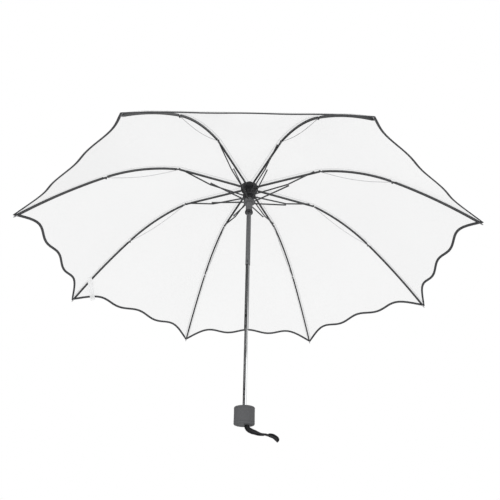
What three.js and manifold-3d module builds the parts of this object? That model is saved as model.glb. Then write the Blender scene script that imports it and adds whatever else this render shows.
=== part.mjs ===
// Three-fold umbrella with a clear eight-gore canopy, modelled open.
// Millimetres and degrees, +Z up the shaft, origin at the centre of the grip.
import * as THREE from 'three';
import { mergeVertices } from 'three/addons/utils/BufferGeometryUtils.js';
import Module from 'manifold-3d';

const wasm = await Module();
wasm.setup();

// ---- driving dimensions -------------------------------------------------
const RIB_COUNT = 8;
const FIRST_RIB_ANGLE = 22.5;
const GORE_ANGLE = 360 / RIB_COUNT;
const CLEARANCE = 0.3;              // between pieces that slide, turn or seat
const TUBE_GAP = 0.35;              // radial gap between one shaft tube and the next
const WALL = 0.4;                   // shaft tube wall

// grip and shaft
const GRIP_RADIUS = 19.8;
const GRIP_HEIGHT = 32.6;
const GRIP_WALL = 4.8;
const GRIP_ROUND = 1.6;
const END_CAP_HEIGHT = 2.2;
const SOCKET_FLOOR = 4.5;           // core material under the inner tube
const INNER_TUBE_RADIUS = 3.8;
const INNER_TUBE_SHOWN = 155.7;      // grip top to the middle tube's end
const MIDDLE_TUBE_SHOWN = 153;      // middle tube's end to the outer tube's end
const OUTER_TUBE_SHOWN = 222;       // outer tube's end to the crown
const TUBE_OVERLAP = 25;            // length of each tube that stays inside the next
const SLIDE_TRAVEL = 130;           // how far each tube slides into the next when closed
const TUBE_SIDES = 24;

// frame, measured in the plane of one rib: radius, and height under the crown
const TOP_PIVOT = [18, -9];         // top rib on the notch
const LINK_PIVOT = [14, -31];       // control link on the notch
const RUNNER_PIVOT = [11.5, -48];   // stretcher on the runner
const LINK_JOINT = [98, -26];       // stretcher to control link
const TOP_RIB_LENGTH = 158;
const MIDDLE_RIB_LENGTH = 173.7;    // straight from end to end of the arc
const OUTER_RIB_LENGTH = 208.2;
const MIDDLE_RIB_START = 12.6;      // slope of the arc's ends below level
const MIDDLE_RIB_END = 39.6;
const OUTER_RIB_END = 50;
const LEVER_LENGTH = 13.96;         // inner end of the middle rib, past its pivot
const RIB_HEIGHT = 3;
const RIB_WIDTH = 3;
const BLADE_WIDTH = 1.4;            // flattened ends that enter a fork
const EAR_INNER = BLADE_WIDTH / 2 + CLEARANCE;   // fork cheeks, from the rib's middle plane
const EAR_WALL = 0.6;
const EAR_OUTER = EAR_INNER + EAR_WALL;
const EAR_RADIUS = 2.1;
const EYE_RADIUS = 1.9;
const HINGE_OFFSET = 1.9;           // hinge pin above or below the rib's middle line
const PIN_RADIUS = 0.55;
const WIRE_RADIUS = 0.5;
const EYE_PLAY = 0.4;               // round the wire ring in an eye
const EYE_HOLE_RADIUS = WIRE_RADIUS + EYE_PLAY;
const LINK_PLAY = 0.7;              // more, because the wire ring curves past a link's side
const LINK_HOLE_RADIUS = WIRE_RADIUS + LINK_PLAY;
const LINK_HEIGHT = 2.6;
const LINK_GAP = 0.4;               // between a rib's side and the flat link beside it
const LINK_WALL = 0.9;
const LINK_INNER = RIB_WIDTH / 2 + LINK_GAP;
const LINK_OUTER = LINK_INNER + LINK_WALL;
const BLADE_LENGTH = 8;             // flattened length at the notch
const SHORT_BLADE = 5;
const BLADE_OVERLAP = 2;            // flattened length that runs on inside a bar
const LEVER_HEIGHT = 2.4;
const POINT_LENGTH = 58;            // slim core of the outer rib that ends in its tip
const POINT_SHARE = 0.5;            // its size, as a part of the rib's
const SHORTEST_STEP = 0.5;          // bends nearer than this to a cut are left out
const END_TRIM = 0.2;

// notch and runner
const NOTCH_RADIUS = 21;
const NOTCH_TOP = -3.2;
const NOTCH_DISC_HEIGHT = 9.3;
const NOTCH_FLOOR = 2.8;            // notch material over the outer tube
const NECK_RADIUS = 8.6;
const NECK_BOTTOM = -36;
const LINK_RING_RADIUS = 15.6;      // flange on the neck that holds the control links
const LINK_RING_HEIGHT = 5;
const STEM_RADIUS = 4;
const STEM_TOP = 3.5;
const CAP_RADIUS = 11;
const CAP_BOTTOM = 0.5;
const CAP_HEIGHT = 9.5;
const CAP_FLAT_RADIUS = 5;
const RUNNER_TOP = -40.5;
const RUNNER_HEAD_RADIUS = 13.2;    // flange that holds the stretchers
const RUNNER_HEAD_TOP = -44.8;
const RUNNER_HEAD_HEIGHT = 7.5;
const RUNNER_BARREL_RADIUS = 7.8;
const RUNNER_BOTTOM = -82;
const COLLAR_RADIUS = 9.4;
const COLLAR_HEIGHT = 6;

// catches
const CATCH_ANGLE = -100;           // side of the shaft that the catches face
const CATCH_WIDTH = 2.4;
const CATCH_HEIGHT = 5.2;
const CATCH_PROUD = 1.6;            // stands out from its tube
const BUTTON_WIDTH = 2.4;
const BUTTON_HEIGHT = 2.4;
const BUTTON_PROUD = 1.15;
const BUTTON_ABOVE_END = 7;         // button's middle above the end of its tube
const KEYWAY_RADIUS = 7.3;
const KEYWAY_WIDTH = 3.6;

// canopy
const FILM = 0.4;
const FILM_ABOVE_RIB = 4.4;         // film's inner face above a rib's middle line
const CROWN_HOLE_RADIUS = 6;
const CROWN_Z = -0.8;
const TIP_PROUD = 8;                // rib tip past the hem's corner
const HEM_DEPTH = 23;               // hem inside the straight line between two tips
const SCALLOP_DEPTH = 10;
const SCALLOPS = 3;
const GORE_STEPS = 6;
const HEM_WIDTH = 5;
const HEM_THICKNESS = 1.6;
const STRAP_WIDTH = 12;
const STRAP_LENGTH = 62;
const STRAP_THICKNESS = 0.6;
const STRAP_RIB = 4;                // hangs under the film beside this rib
const STRAP_UNDER_RIB = 2.2;        // gap between the rib and the strap that crosses it
const STRAP_START = 58;             // where it crosses the rib, from the hem's corner
const STRAP_LEAN = 0.15;            // part of a gore that its free end lies away from the rib

// wrist strap: the ribbon's middle line, in the plane of X and Z, below the grip
const RIBBON_WIDTH = 8;
const RIBBON_THICKNESS = 1;
const RIBBON_ROUTE = [
  [6.9, 3], [6.9, -2.2], [7.6, -4.2], [10.2, -6.8], [14.7, -9.1], [19.1, -10.9],
  [26, -12.9], [30.9, -14.8], [36.8, -15.5], [42.9, -15.7], [49, -15.4], [55.4, -17.5],
  [61.2, -21.9], [63, -26.2], [62.4, -28], [60.6, -28], [59.2, -24.5], [53.8, -20.5],
  [48.2, -18.8], [42.7, -17.3], [36.8, -16.9], [30.7, -16.8], [25, -16.3], [18.1, -13.9],
  [13.3, -12.1], [8.4, -9.6], [4.8, -6.2], [3.1, -2.2], [3.1, 3],
];

// ---- sizes that follow ---------------------------------------------------
const GRIP_TOP = GRIP_HEIGHT / 2;
const GRIP_BOTTOM = -GRIP_HEIGHT / 2;
const MIDDLE_TUBE_RADIUS = INNER_TUBE_RADIUS + TUBE_GAP + WALL;
const OUTER_TUBE_RADIUS = MIDDLE_TUBE_RADIUS + TUBE_GAP + WALL;
const MIDDLE_TUBE_END = GRIP_TOP + INNER_TUBE_SHOWN;
const OUTER_TUBE_END = MIDDLE_TUBE_END + MIDDLE_TUBE_SHOWN;
const CROWN = OUTER_TUBE_END + OUTER_TUBE_SHOWN;
const BORE_RADIUS = OUTER_TUBE_RADIUS + CLEARANCE;
const TUBE_TOP = NOTCH_TOP - NOTCH_FLOOR;
const UPPER_BUTTON_Z = OUTER_TUBE_END + BUTTON_ABOVE_END;
const LOWER_BUTTON_Z = MIDDLE_TUBE_END + BUTTON_ABOVE_END;
const CATCH_Z = CROWN + RUNNER_BOTTOM - CLEARANCE - CATCH_HEIGHT / 2;

// ---- shape helpers ---------------------------------------------------------
const radians = THREE.MathUtils.degToRad;

/** A closed geometry as a solid that can be joined and cut. */
function solid(geometry) {
  geometry.deleteAttribute('normal');
  geometry.deleteAttribute('uv');
  const merged = mergeVertices(geometry, 1e-4);
  const vertProperties = new Float32Array(merged.attributes.position.array);
  const index = merged.index.array;
  const kept = [];
  for (let i = 0; i < index.length; i += 3) {
    const [a, b, c] = index.slice(i, i + 3);
    if (a !== b && b !== c && c !== a) kept.push(a, b, c);
  }
  const triVerts = new Uint32Array(kept);
  return new wasm.Manifold(new wasm.Mesh({ numProp: 3, vertProperties, triVerts }));
}

/** The geometry of a solid. */
function geometryOf(body) {
  const { vertProperties, triVerts } = body.getMesh();
  const geometry = new THREE.BufferGeometry();
  geometry.setAttribute('position', new THREE.BufferAttribute(vertProperties, 3));
  geometry.setIndex(new THREE.BufferAttribute(triVerts, 1));
  return geometry;
}

/** A piece of given thickness across a rib's plane, from its outline of [radius, height]. */
function plate(outline, from, to) {
  const shape = new THREE.Shape(outline.map(([x, y]) => new THREE.Vector2(x, y)));
  const geometry = new THREE.ExtrudeGeometry(shape, { depth: to - from, bevelEnabled: false });
  geometry.rotateX(Math.PI / 2);
  geometry.translate(0, to, 0);
  return solid(geometry);
}

/** A round pin or hole across a rib's plane. */
function crossPin([x, z], radius, from, to, sides = 8) {
  const geometry = new THREE.CylinderGeometry(radius, radius, to - from, sides);
  geometry.translate(x, (from + to) / 2, z);
  return solid(geometry);
}

/** A box between two corners. */
function block([x0, y0, z0], [x1, y1, z1]) {
  const geometry = new THREE.BoxGeometry(x1 - x0, y1 - y0, z1 - z0);
  geometry.translate((x0 + x1) / 2, (y0 + y1) / 2, (z0 + z1) / 2);
  return solid(geometry);
}

/** A shape turned about the shaft, from its closed outline of [radius, height]. */
function turned(outline, sides = 32) {
  const points = [...outline, outline[0]].map(([x, y]) => new THREE.Vector2(x, y));
  const geometry = new THREE.LatheGeometry(points, sides);
  geometry.rotateX(Math.PI / 2);
  const body = solid(geometry);
  return body.volume() < 0 ? solid(flipped(geometry)) : body;
}

/** A geometry with its faces turned to point the other way. */
function flipped(geometry) {
  const index = geometry.index.array;
  for (let i = 0; i < index.length; i += 3) {
    const first = index[i];
    index[i] = index[i + 1];
    index[i + 1] = first;
  }
  return geometry;
}

/** The points of a band of even height along a line, as one closed outline. */
function band(line, height) {
  const half = height / 2;
  const sides = line.map(([x, z], i) => {
    const before = line[Math.max(i - 1, 0)];
    const after = line[Math.min(i + 1, line.length - 1)];
    const along = new THREE.Vector2(after[0] - before[0], after[1] - before[1]).normalize();
    return [[x - along.y * half, z + along.x * half], [x + along.y * half, z - along.x * half]];
  });
  return [...sides.map((s) => s[1]), ...sides.map((s) => s[0]).reverse()];
}

/** A solid turned about the shaft's line. */
function around(body, degrees) {
  return body.rotate([0, 0, degrees]);
}

// ---- the frame's outline in one rib's plane --------------------------------
/** The direction of a slope below level, along a rib from the shaft outwards. */
function slope(degrees) {
  return [Math.cos(radians(degrees)), -Math.sin(radians(degrees))];
}

/** A point moved by a distance square to a slope, upwards when positive. */
function lifted([x, z], degrees, distance) {
  const [along, down] = slope(degrees);
  return [x - down * distance, z + along * distance];
}

/** An arc of [radius, height] points between two slopes, with a given straight length. */
function ribArc([x, z], startSlope, endSlope, length, steps) {
  const turn = radians(endSlope - startSlope);
  const radius = length / (2 * Math.sin(turn / 2));
  const points = [];
  for (let i = 0; i <= steps; i += 1) {
    const angle = radians(startSlope) + (turn * i) / steps;
    const across = radius * (Math.sin(angle) - Math.sin(radians(startSlope)));
    const down = radius * (Math.cos(radians(startSlope)) - Math.cos(angle));
    points.push([x + across, z - down]);
  }
  return points;
}

const TOP_LINE = [TOP_PIVOT, [TOP_PIVOT[0] + TOP_RIB_LENGTH, TOP_PIVOT[1]]];
const ELBOW = [TOP_LINE[1][0], TOP_LINE[1][1] + HINGE_OFFSET];
const MIDDLE_START = lifted(ELBOW, MIDDLE_RIB_START, -HINGE_OFFSET);
const MIDDLE_LINE = ribArc(MIDDLE_START, MIDDLE_RIB_START, MIDDLE_RIB_END, MIDDLE_RIB_LENGTH, 6);
const KNUCKLE = lifted(MIDDLE_LINE.at(-1), MIDDLE_RIB_END, -HINGE_OFFSET);
const OUTER_LINE = ribArc(MIDDLE_LINE.at(-1), MIDDLE_RIB_END, OUTER_RIB_END, OUTER_RIB_LENGTH, 3);
const LEVER_END = [ELBOW[0] - LEVER_LENGTH, ELBOW[1]];

/** The stretch of a line between two distances along it, the second from its far end if negative. */
function stretch(line, from, to) {
  const curve = new THREE.CurvePath();
  const corners = line.map((point) => new THREE.Vector2(...point));
  for (let i = 1; i < corners.length; i += 1) {
    curve.add(new THREE.LineCurve(corners[i - 1], corners[i]));
  }
  const total = curve.getLength();
  const end = to > 0 ? to : total + to;
  const lengths = [0, ...curve.getCurveLengths()];
  const inside = lengths.filter((s) => s > from + SHORTEST_STEP && s < end - SHORTEST_STEP);
  return [from, ...inside, end].map((s) => {
    const point = curve.getPoint(Math.min(s / total, 1));
    return [point.x, point.y];
  });
}

/** A fork's two cheeks and its pin, at the end of a rib. */
function fork(pivot, line) {
  const cheek = plate(band(line, RIB_HEIGHT), EAR_INNER, EAR_OUTER)
    .add(crossPin(pivot, EAR_RADIUS, EAR_INNER, EAR_OUTER));
  return cheek.add(cheek.mirror([0, 1, 0])).add(crossPin(pivot, PIN_RADIUS, -EAR_OUTER, EAR_OUTER, 6));
}

/** An eye that a pin or a wire passes through, at the end of a flat piece. */
function eyed(body, pivot, from, to, hole = EYE_HOLE_RADIUS) {
  return body
    .add(crossPin(pivot, EYE_RADIUS, from, to))
    .subtract(crossPin(pivot, hole, from - 1, to + 1, 6));
}

// ---- one rib ---------------------------------------------------------------
/** Top rib: an eye on the notch wire, a bar, and a fork at the elbow. */
function topRib() {
  const half = BLADE_WIDTH / 2;
  const forkStart = TOP_RIB_LENGTH - LEVER_LENGTH - EYE_RADIUS - CLEARANCE * 2;
  const bladeLine = stretch(TOP_LINE, 0, BLADE_LENGTH + BLADE_OVERLAP);
  const blade = plate(band(bladeLine, RIB_HEIGHT), -half, half);
  const bar = plate(
    band(stretch(TOP_LINE, BLADE_LENGTH, forkStart), RIB_HEIGHT), -RIB_WIDTH / 2, RIB_WIDTH / 2);
  const cheeks = fork(ELBOW, stretch(TOP_LINE, forkStart - 3, -0.01));
  return eyed(blade, TOP_PIVOT, -half, half).add(bar).add(cheeks);
}

/** Middle rib: a lever inside the elbow, an arched bar, and an eye at each end. */
function middleRib() {
  const half = BLADE_WIDTH / 2;
  const blade = SHORT_BLADE + BLADE_OVERLAP;
  const lever = plate(band([LEVER_END, ELBOW], LEVER_HEIGHT), -half, half)
    .add(crossPin(LEVER_END, LEVER_HEIGHT / 2, -half, half));
  const inner = plate(band(stretch(MIDDLE_LINE, END_TRIM, blade), RIB_HEIGHT), -half, half);
  const outerLine = stretch(MIDDLE_LINE, middleLength() - blade, -END_TRIM);
  const outer = plate(band(outerLine, RIB_HEIGHT), -half, half);
  const bar = plate(
    band(stretch(MIDDLE_LINE, SHORT_BLADE, -SHORT_BLADE), RIB_HEIGHT), -RIB_WIDTH / 2, RIB_WIDTH / 2);
  const whole = lever.add(inner).add(bar).add(outer);
  return eyed(eyed(whole, ELBOW, -half, half), KNUCKLE, -half, half);
}

/** The middle rib's length along its arc. */
function middleLength() {
  let total = 0;
  for (let i = 1; i < MIDDLE_LINE.length; i += 1) {
    const [a, b] = [MIDDLE_LINE[i - 1], MIDDLE_LINE[i]];
    total += Math.hypot(b[0] - a[0], b[1] - a[1]);
  }
  return total;
}

/** Outer rib: a fork at the knuckle and a bar that tapers to the tip. */
function outerRib() {
  const bar = plate(
    band(stretch(OUTER_LINE, SHORT_BLADE, -TIP_PROUD), RIB_HEIGHT), -RIB_WIDTH / 2, RIB_WIDTH / 2);
  const pointLine = stretch(OUTER_LINE, OUTER_RIB_LENGTH - POINT_LENGTH, -0.01);
  const pointHalf = (RIB_WIDTH * POINT_SHARE) / 2;
  const point = plate(band(pointLine, RIB_HEIGHT * POINT_SHARE), -pointHalf, pointHalf);
  return bar.add(point).add(fork(KNUCKLE, stretch(OUTER_LINE, END_TRIM, SHORT_BLADE + 3)));
}

/** Control link: a flat bent bar beside the rib, from the notch to the lever. */
function controlLink() {
  const line = [LINK_PIVOT, LINK_JOINT, LEVER_END];
  const bar = plate(band(line, LINK_HEIGHT), -LINK_OUTER, -LINK_INNER)
    .add(crossPin(LEVER_END, EYE_RADIUS, -LINK_OUTER, -LINK_INNER));
  return eyed(bar, LINK_PIVOT, -LINK_OUTER, -LINK_INNER, LINK_HOLE_RADIUS);
}

/** Stretcher: a flat bar on the rib's other side, from the runner to the control link. */
function stretcher() {
  const bar = plate(band([RUNNER_PIVOT, LINK_JOINT], LINK_HEIGHT), LINK_INNER, LINK_OUTER)
    .add(crossPin(LINK_JOINT, EYE_RADIUS, LINK_INNER, LINK_OUTER));
  return eyed(bar, RUNNER_PIVOT, LINK_INNER, LINK_OUTER, LINK_HOLE_RADIUS);
}

// ---- notch, runner and wires -------------------------------------------------
/** Eight slots cut outwards from a radius, between two heights and two sides of the rib's plane. */
function slots(from, to, low, high, left, right) {
  const slot = block([from, left, low], [to, right, high]);
  const all = [];
  for (let i = 0; i < RIB_COUNT; i += 1) all.push(around(slot, FIRST_RIB_ANGLE + GORE_ANGLE * i));
  return wasm.Manifold.union(all);
}

/** A square-sided channel round the shaft, for a wire ring. */
function channel([radius, height]) {
  const half = WIRE_RADIUS + 0.2;
  return turned([
    [radius - half, height - half], [radius + half, height - half],
    [radius + half, height + half], [radius - half, height + half],
  ]);
}

/** A wire ring that a set of ribs or links hangs on. */
function wireRing([radius, height]) {
  const outline = [];
  for (let i = 0; i < 6; i += 1) {
    const angle = (i * Math.PI) / 3;
    outline.push([radius + WIRE_RADIUS * Math.cos(angle), height + WIRE_RADIUS * Math.sin(angle)]);
  }
  return turned(outline, 24);
}

/** Notch: the slotted hub fixed to the top of the outer tube. */
function topNotch() {
  const discBottom = NOTCH_TOP - NOTCH_DISC_HEIGHT;
  const ringTop = LINK_PIVOT[1] + LINK_RING_HEIGHT / 2;
  const ringBottom = LINK_PIVOT[1] - LINK_RING_HEIGHT / 2;
  const body = turned([
    [BORE_RADIUS, NECK_BOTTOM], [NECK_RADIUS, NECK_BOTTOM],
    [NECK_RADIUS, ringBottom], [LINK_RING_RADIUS, ringBottom],
    [LINK_RING_RADIUS, ringTop], [NECK_RADIUS, ringTop],
    [NECK_RADIUS, discBottom], [NOTCH_RADIUS, discBottom], [NOTCH_RADIUS, NOTCH_TOP],
    [STEM_RADIUS, NOTCH_TOP], [STEM_RADIUS, STEM_TOP], [0, STEM_TOP],
    [0, TUBE_TOP + CLEARANCE], [BORE_RADIUS, TUBE_TOP + CLEARANCE],
  ], 32);
  const bladeHalf = BLADE_WIDTH / 2 + CLEARANCE;
  const ribSlots = slots(TOP_PIVOT[0] - EYE_RADIUS - CLEARANCE, NOTCH_RADIUS + 1,
    discBottom - 1, NOTCH_TOP + 1, -bladeHalf, bladeHalf);
  const linkSlots = slots(LINK_PIVOT[0] - EYE_RADIUS - CLEARANCE, LINK_RING_RADIUS + 1,
    NECK_BOTTOM - 1, LINK_PIVOT[1] + EYE_RADIUS + CLEARANCE,
    -LINK_OUTER - CLEARANCE, -LINK_INNER + CLEARANCE);
  return body.subtract(ribSlots).subtract(linkSlots)
    .subtract(channel(TOP_PIVOT)).subtract(channel(LINK_PIVOT));
}

/** Cap: closes the crown over the canopy and ends in a flat. */
function notchCap() {
  const socket = STEM_TOP + CLEARANCE;
  const top = CAP_BOTTOM + CAP_HEIGHT;
  return turned([
    [STEM_RADIUS + CLEARANCE, CAP_BOTTOM], [CAP_RADIUS, CAP_BOTTOM], [CAP_RADIUS, CAP_BOTTOM + 1.5],
    [CAP_RADIUS * 0.86, CAP_BOTTOM + CAP_HEIGHT * 0.6], [CAP_FLAT_RADIUS, top], [0, top],
    [0, socket], [STEM_RADIUS + CLEARANCE, socket],
  ], 24);
}

/** Runner: slides on the outer tube and carries the stretchers. */
function runner() {
  const headBottom = RUNNER_HEAD_TOP - RUNNER_HEAD_HEIGHT;
  const body = turned([
    [BORE_RADIUS, RUNNER_BOTTOM], [RUNNER_BARREL_RADIUS, RUNNER_BOTTOM],
    [RUNNER_BARREL_RADIUS, headBottom], [RUNNER_HEAD_RADIUS, headBottom],
    [RUNNER_HEAD_RADIUS, RUNNER_HEAD_TOP], [RUNNER_BARREL_RADIUS, RUNNER_HEAD_TOP],
    [RUNNER_BARREL_RADIUS, RUNNER_TOP], [BORE_RADIUS, RUNNER_TOP],
  ], 32);
  const pivotSlots = slots(RUNNER_PIVOT[0] - EYE_RADIUS - CLEARANCE, RUNNER_HEAD_RADIUS + 1,
    RUNNER_PIVOT[1] - EYE_RADIUS - CLEARANCE * 2, RUNNER_HEAD_TOP + 1,
    LINK_INNER - CLEARANCE, LINK_OUTER + CLEARANCE);
  const keyway = around(block([0, -KEYWAY_WIDTH / 2, RUNNER_BOTTOM - 1],
    [KEYWAY_RADIUS, KEYWAY_WIDTH / 2, RUNNER_TOP + 1]), CATCH_ANGLE);
  return body.subtract(pivotSlots).subtract(channel(RUNNER_PIVOT)).subtract(keyway);
}

/** Collar: the ring at the bottom of the runner that the fingers pull. */
function runnerCollar() {
  const inner = RUNNER_BARREL_RADIUS + CLEARANCE;
  const top = RUNNER_BOTTOM + COLLAR_HEIGHT;
  return turned([
    [inner, RUNNER_BOTTOM], [COLLAR_RADIUS - 0.5, RUNNER_BOTTOM], [COLLAR_RADIUS, RUNNER_BOTTOM + 1],
    [COLLAR_RADIUS, top - 1], [COLLAR_RADIUS - 0.5, top], [inner, top],
  ]);
}

// ---- shaft -------------------------------------------------------------------
/** A shaft tube with holes facing the catch side, each a [height, width of hole, height of hole]. */
function tube(radius, low, high, holes) {
  const inner = radius - WALL;
  let body = turned([[inner, low], [radius, low], [radius, high], [inner, high]], TUBE_SIDES);
  for (const [z, wide, tall] of holes) {
    const hole = block([0, -wide / 2, z - tall / 2], [radius + 1, wide / 2, z + tall / 2]);
    body = body.subtract(around(hole, CATCH_ANGLE));
  }
  return body;
}

/** A hole that a button passes through, at a height. */
function buttonHole(z) {
  return [z, BUTTON_WIDTH + 2 * CLEARANCE, BUTTON_HEIGHT + 2 * CLEARANCE];
}

/** A hole that the runner catch or a longer part passes through, at a height. */
function catchHole(z) {
  return [z, CATCH_WIDTH + 2 * CLEARANCE, CATCH_HEIGHT + 2 * CLEARANCE];
}

/** Inner tube: fixed in the grip. */
function innerTube() {
  const low = GRIP_BOTTOM + END_CAP_HEIGHT + SOCKET_FLOOR + CLEARANCE;
  const holes = [buttonHole(LOWER_BUTTON_Z), buttonHole(LOWER_BUTTON_Z - SLIDE_TRAVEL)];
  return tube(INNER_TUBE_RADIUS, low, MIDDLE_TUBE_END + TUBE_OVERLAP, holes);
}

/** Middle tube: slides over the inner tube. */
function middleTube() {
  const locks = [catchHole(UPPER_BUTTON_Z), catchHole(UPPER_BUTTON_Z - SLIDE_TRAVEL)];
  const holes = [...locks, buttonHole(LOWER_BUTTON_Z)];
  return tube(MIDDLE_TUBE_RADIUS, MIDDLE_TUBE_END, OUTER_TUBE_END + TUBE_OVERLAP, holes);
}

/** Outer tube: slides over the middle tube and carries the frame. */
function outerTube() {
  const holes = [catchHole(CATCH_Z), buttonHole(UPPER_BUTTON_Z)];
  return tube(OUTER_TUBE_RADIUS, OUTER_TUBE_END, CROWN + TUBE_TOP, holes);
}

/** A push button in the wall of a tube. */
function tubeButton(radius, height) {
  const inner = radius - WALL - TUBE_GAP * 0.6;
  const outline = [
    [inner, height - BUTTON_HEIGHT / 2], [radius + BUTTON_PROUD - 0.5, height - BUTTON_HEIGHT / 2],
    [radius + BUTTON_PROUD, height - BUTTON_HEIGHT / 2 + 0.5],
    [radius + BUTTON_PROUD, height + BUTTON_HEIGHT / 2 - 0.5],
    [radius + BUTTON_PROUD - 0.5, height + BUTTON_HEIGHT / 2], [inner, height + BUTTON_HEIGHT / 2],
  ];
  return around(plate(outline, -BUTTON_WIDTH / 2, BUTTON_WIDTH / 2), CATCH_ANGLE);
}

/** Runner catch: the nose that holds the runner up, sloped below so that the runner rides over it. */
function runnerCatch() {
  const inner = OUTER_TUBE_RADIUS - WALL - TUBE_GAP * 0.6;
  const outer = OUTER_TUBE_RADIUS + CATCH_PROUD;
  const [low, high] = [CATCH_Z - CATCH_HEIGHT / 2, CATCH_Z + CATCH_HEIGHT / 2];
  const outline = [
    [inner, low], [OUTER_TUBE_RADIUS + 0.1, low], [outer, high - 1.6], [outer, high], [inner, high],
  ];
  return around(plate(outline, -CATCH_WIDTH / 2, CATCH_WIDTH / 2), CATCH_ANGLE);
}

// ---- grip ----------------------------------------------------------------------
/** Grip shell: a short round cup, open below, with a hole for the inner tube. */
function grip() {
  const hole = INNER_TUBE_RADIUS + CLEARANCE;
  const bore = GRIP_RADIUS - GRIP_WALL;
  const roof = GRIP_TOP - GRIP_WALL;
  return turned([
    [hole, roof], [bore, roof], [bore, GRIP_BOTTOM], [GRIP_RADIUS - GRIP_ROUND, GRIP_BOTTOM],
    [GRIP_RADIUS - GRIP_ROUND * 0.3, GRIP_BOTTOM + GRIP_ROUND * 0.3],
    [GRIP_RADIUS, GRIP_BOTTOM + GRIP_ROUND], [GRIP_RADIUS, GRIP_TOP - GRIP_ROUND],
    [GRIP_RADIUS - GRIP_ROUND * 0.3, GRIP_TOP - GRIP_ROUND * 0.3],
    [GRIP_RADIUS - GRIP_ROUND, GRIP_TOP], [hole, GRIP_TOP],
  ], 32);
}

/** Core: the plug inside the grip that holds the inner tube and the wrist strap. */
function gripCore() {
  const hole = INNER_TUBE_RADIUS + CLEARANCE;
  const low = GRIP_BOTTOM + END_CAP_HEIGHT + CLEARANCE;
  const high = GRIP_TOP - GRIP_WALL - CLEARANCE;
  const outer = GRIP_RADIUS - GRIP_WALL - CLEARANCE;
  const body = turned([
    [0, low], [outer, low], [outer, high], [hole, high], [hole, low + SOCKET_FLOOR - CLEARANCE],
    [0, low + SOCKET_FLOOR - CLEARANCE],
  ]);
  return body.subtract(ribbonSlot(low - 1, GRIP_BOTTOM + RIBBON_ROUTE[0][1] + CLEARANCE));
}

/** End cap: the disc under the grip, with the wrist strap's slot. */
function gripEndCap() {
  const outer = GRIP_RADIUS - GRIP_WALL - CLEARANCE;
  const body = turned([
    [0, GRIP_BOTTOM], [outer, GRIP_BOTTOM], [outer, GRIP_BOTTOM + END_CAP_HEIGHT],
    [0, GRIP_BOTTOM + END_CAP_HEIGHT],
  ]);
  return body.subtract(ribbonSlot(GRIP_BOTTOM - 1, GRIP_BOTTOM + END_CAP_HEIGHT + 1));
}

/** The slot that both ends of the wrist strap pass through. */
function ribbonSlot(low, high) {
  const room = RIBBON_THICKNESS / 2 + CLEARANCE;
  const wide = RIBBON_WIDTH / 2 + CLEARANCE;
  return block([RIBBON_ROUTE.at(-1)[0] - room, -wide, low], [RIBBON_ROUTE[0][0] + room, wide, high]);
}

/** Wrist strap: a ribbon loop whose ends are held in the grip. */
function wristStrap() {
  const line = RIBBON_ROUTE.map(([x, z]) => new THREE.Vector3(x, z + GRIP_BOTTOM, 0));
  const curve = new THREE.CatmullRomCurve3(line, false, 'centripetal');
  const points = curve.getSpacedPoints(44).map((p) => [p.x, p.y]);
  return plate(band(points, RIBBON_THICKNESS), -RIBBON_WIDTH / 2, RIBBON_WIDTH / 2);
}

// ---- canopy ----------------------------------------------------------------------
/** The film's inner face over one rib, from the crown to past the rib's tip. */
function canopyLine() {
  const overMiddle = MIDDLE_LINE.slice(1).map((point, i) => {
    const part = (i + 1) / (MIDDLE_LINE.length - 1);
    return lifted(point, MIDDLE_RIB_START + part * (MIDDLE_RIB_END - MIDDLE_RIB_START), FILM_ABOVE_RIB);
  });
  const overOuter = OUTER_LINE.slice(1).map((point, i) => {
    const part = (i + 1) / (OUTER_LINE.length - 1);
    return lifted(point, MIDDLE_RIB_END + part * (OUTER_RIB_END - MIDDLE_RIB_END), FILM_ABOVE_RIB);
  });
  const over = TOP_PIVOT[1] + FILM_ABOVE_RIB;
  return [
    [CROWN_HOLE_RADIUS, CROWN_Z], [NOTCH_RADIUS, CROWN_Z - 0.5], [NOTCH_RADIUS * 2.6, over + 1],
    [ELBOW[0] - LEVER_LENGTH, over], [ELBOW[0] + EAR_RADIUS, over], ...overMiddle, ...overOuter,
  ];
}

/** How far up the film the hem is, at a part of the way from one tip to the next. */
function hemInset(part) {
  const straight = HEM_DEPTH * (1 - Math.abs(2 * part - 1) ** 6);
  return straight + (SCALLOP_DEPTH * (1 - Math.cos(2 * Math.PI * SCALLOPS * part))) / 2;
}

const CANOPY_CURVE = new THREE.CurvePath();
canopyLine().forEach((point, i, line) => {
  if (i === 0) return;
  const start = new THREE.Vector2(...line[i - 1]);
  CANOPY_CURVE.add(new THREE.LineCurve(start, new THREE.Vector2(...point)));
});
const CANOPY_LENGTH = CANOPY_CURVE.getLength() - TIP_PROUD;
const INNER_RINGS = 5;              // rings of the film from the crown to the elbow
const KNUCKLE_RING = INNER_RINGS + MIDDLE_LINE.length - 1;
const CANOPY_BENDS = [0, ...CANOPY_CURVE.getCurveLengths()].slice(0, KNUCKLE_RING);
const UPPER_RINGS = CANOPY_BENDS.filter((_, i) => i < INNER_RINGS || i % 2 === 0);

/** The distances from the crown of a column's points, down to the hem. */
function ringDistances(hem) {
  const knuckle = CANOPY_BENDS.at(-1);
  return [...UPPER_RINGS, knuckle + (hem - knuckle) / 3, knuckle + ((hem - knuckle) * 2) / 3, hem];
}

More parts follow.
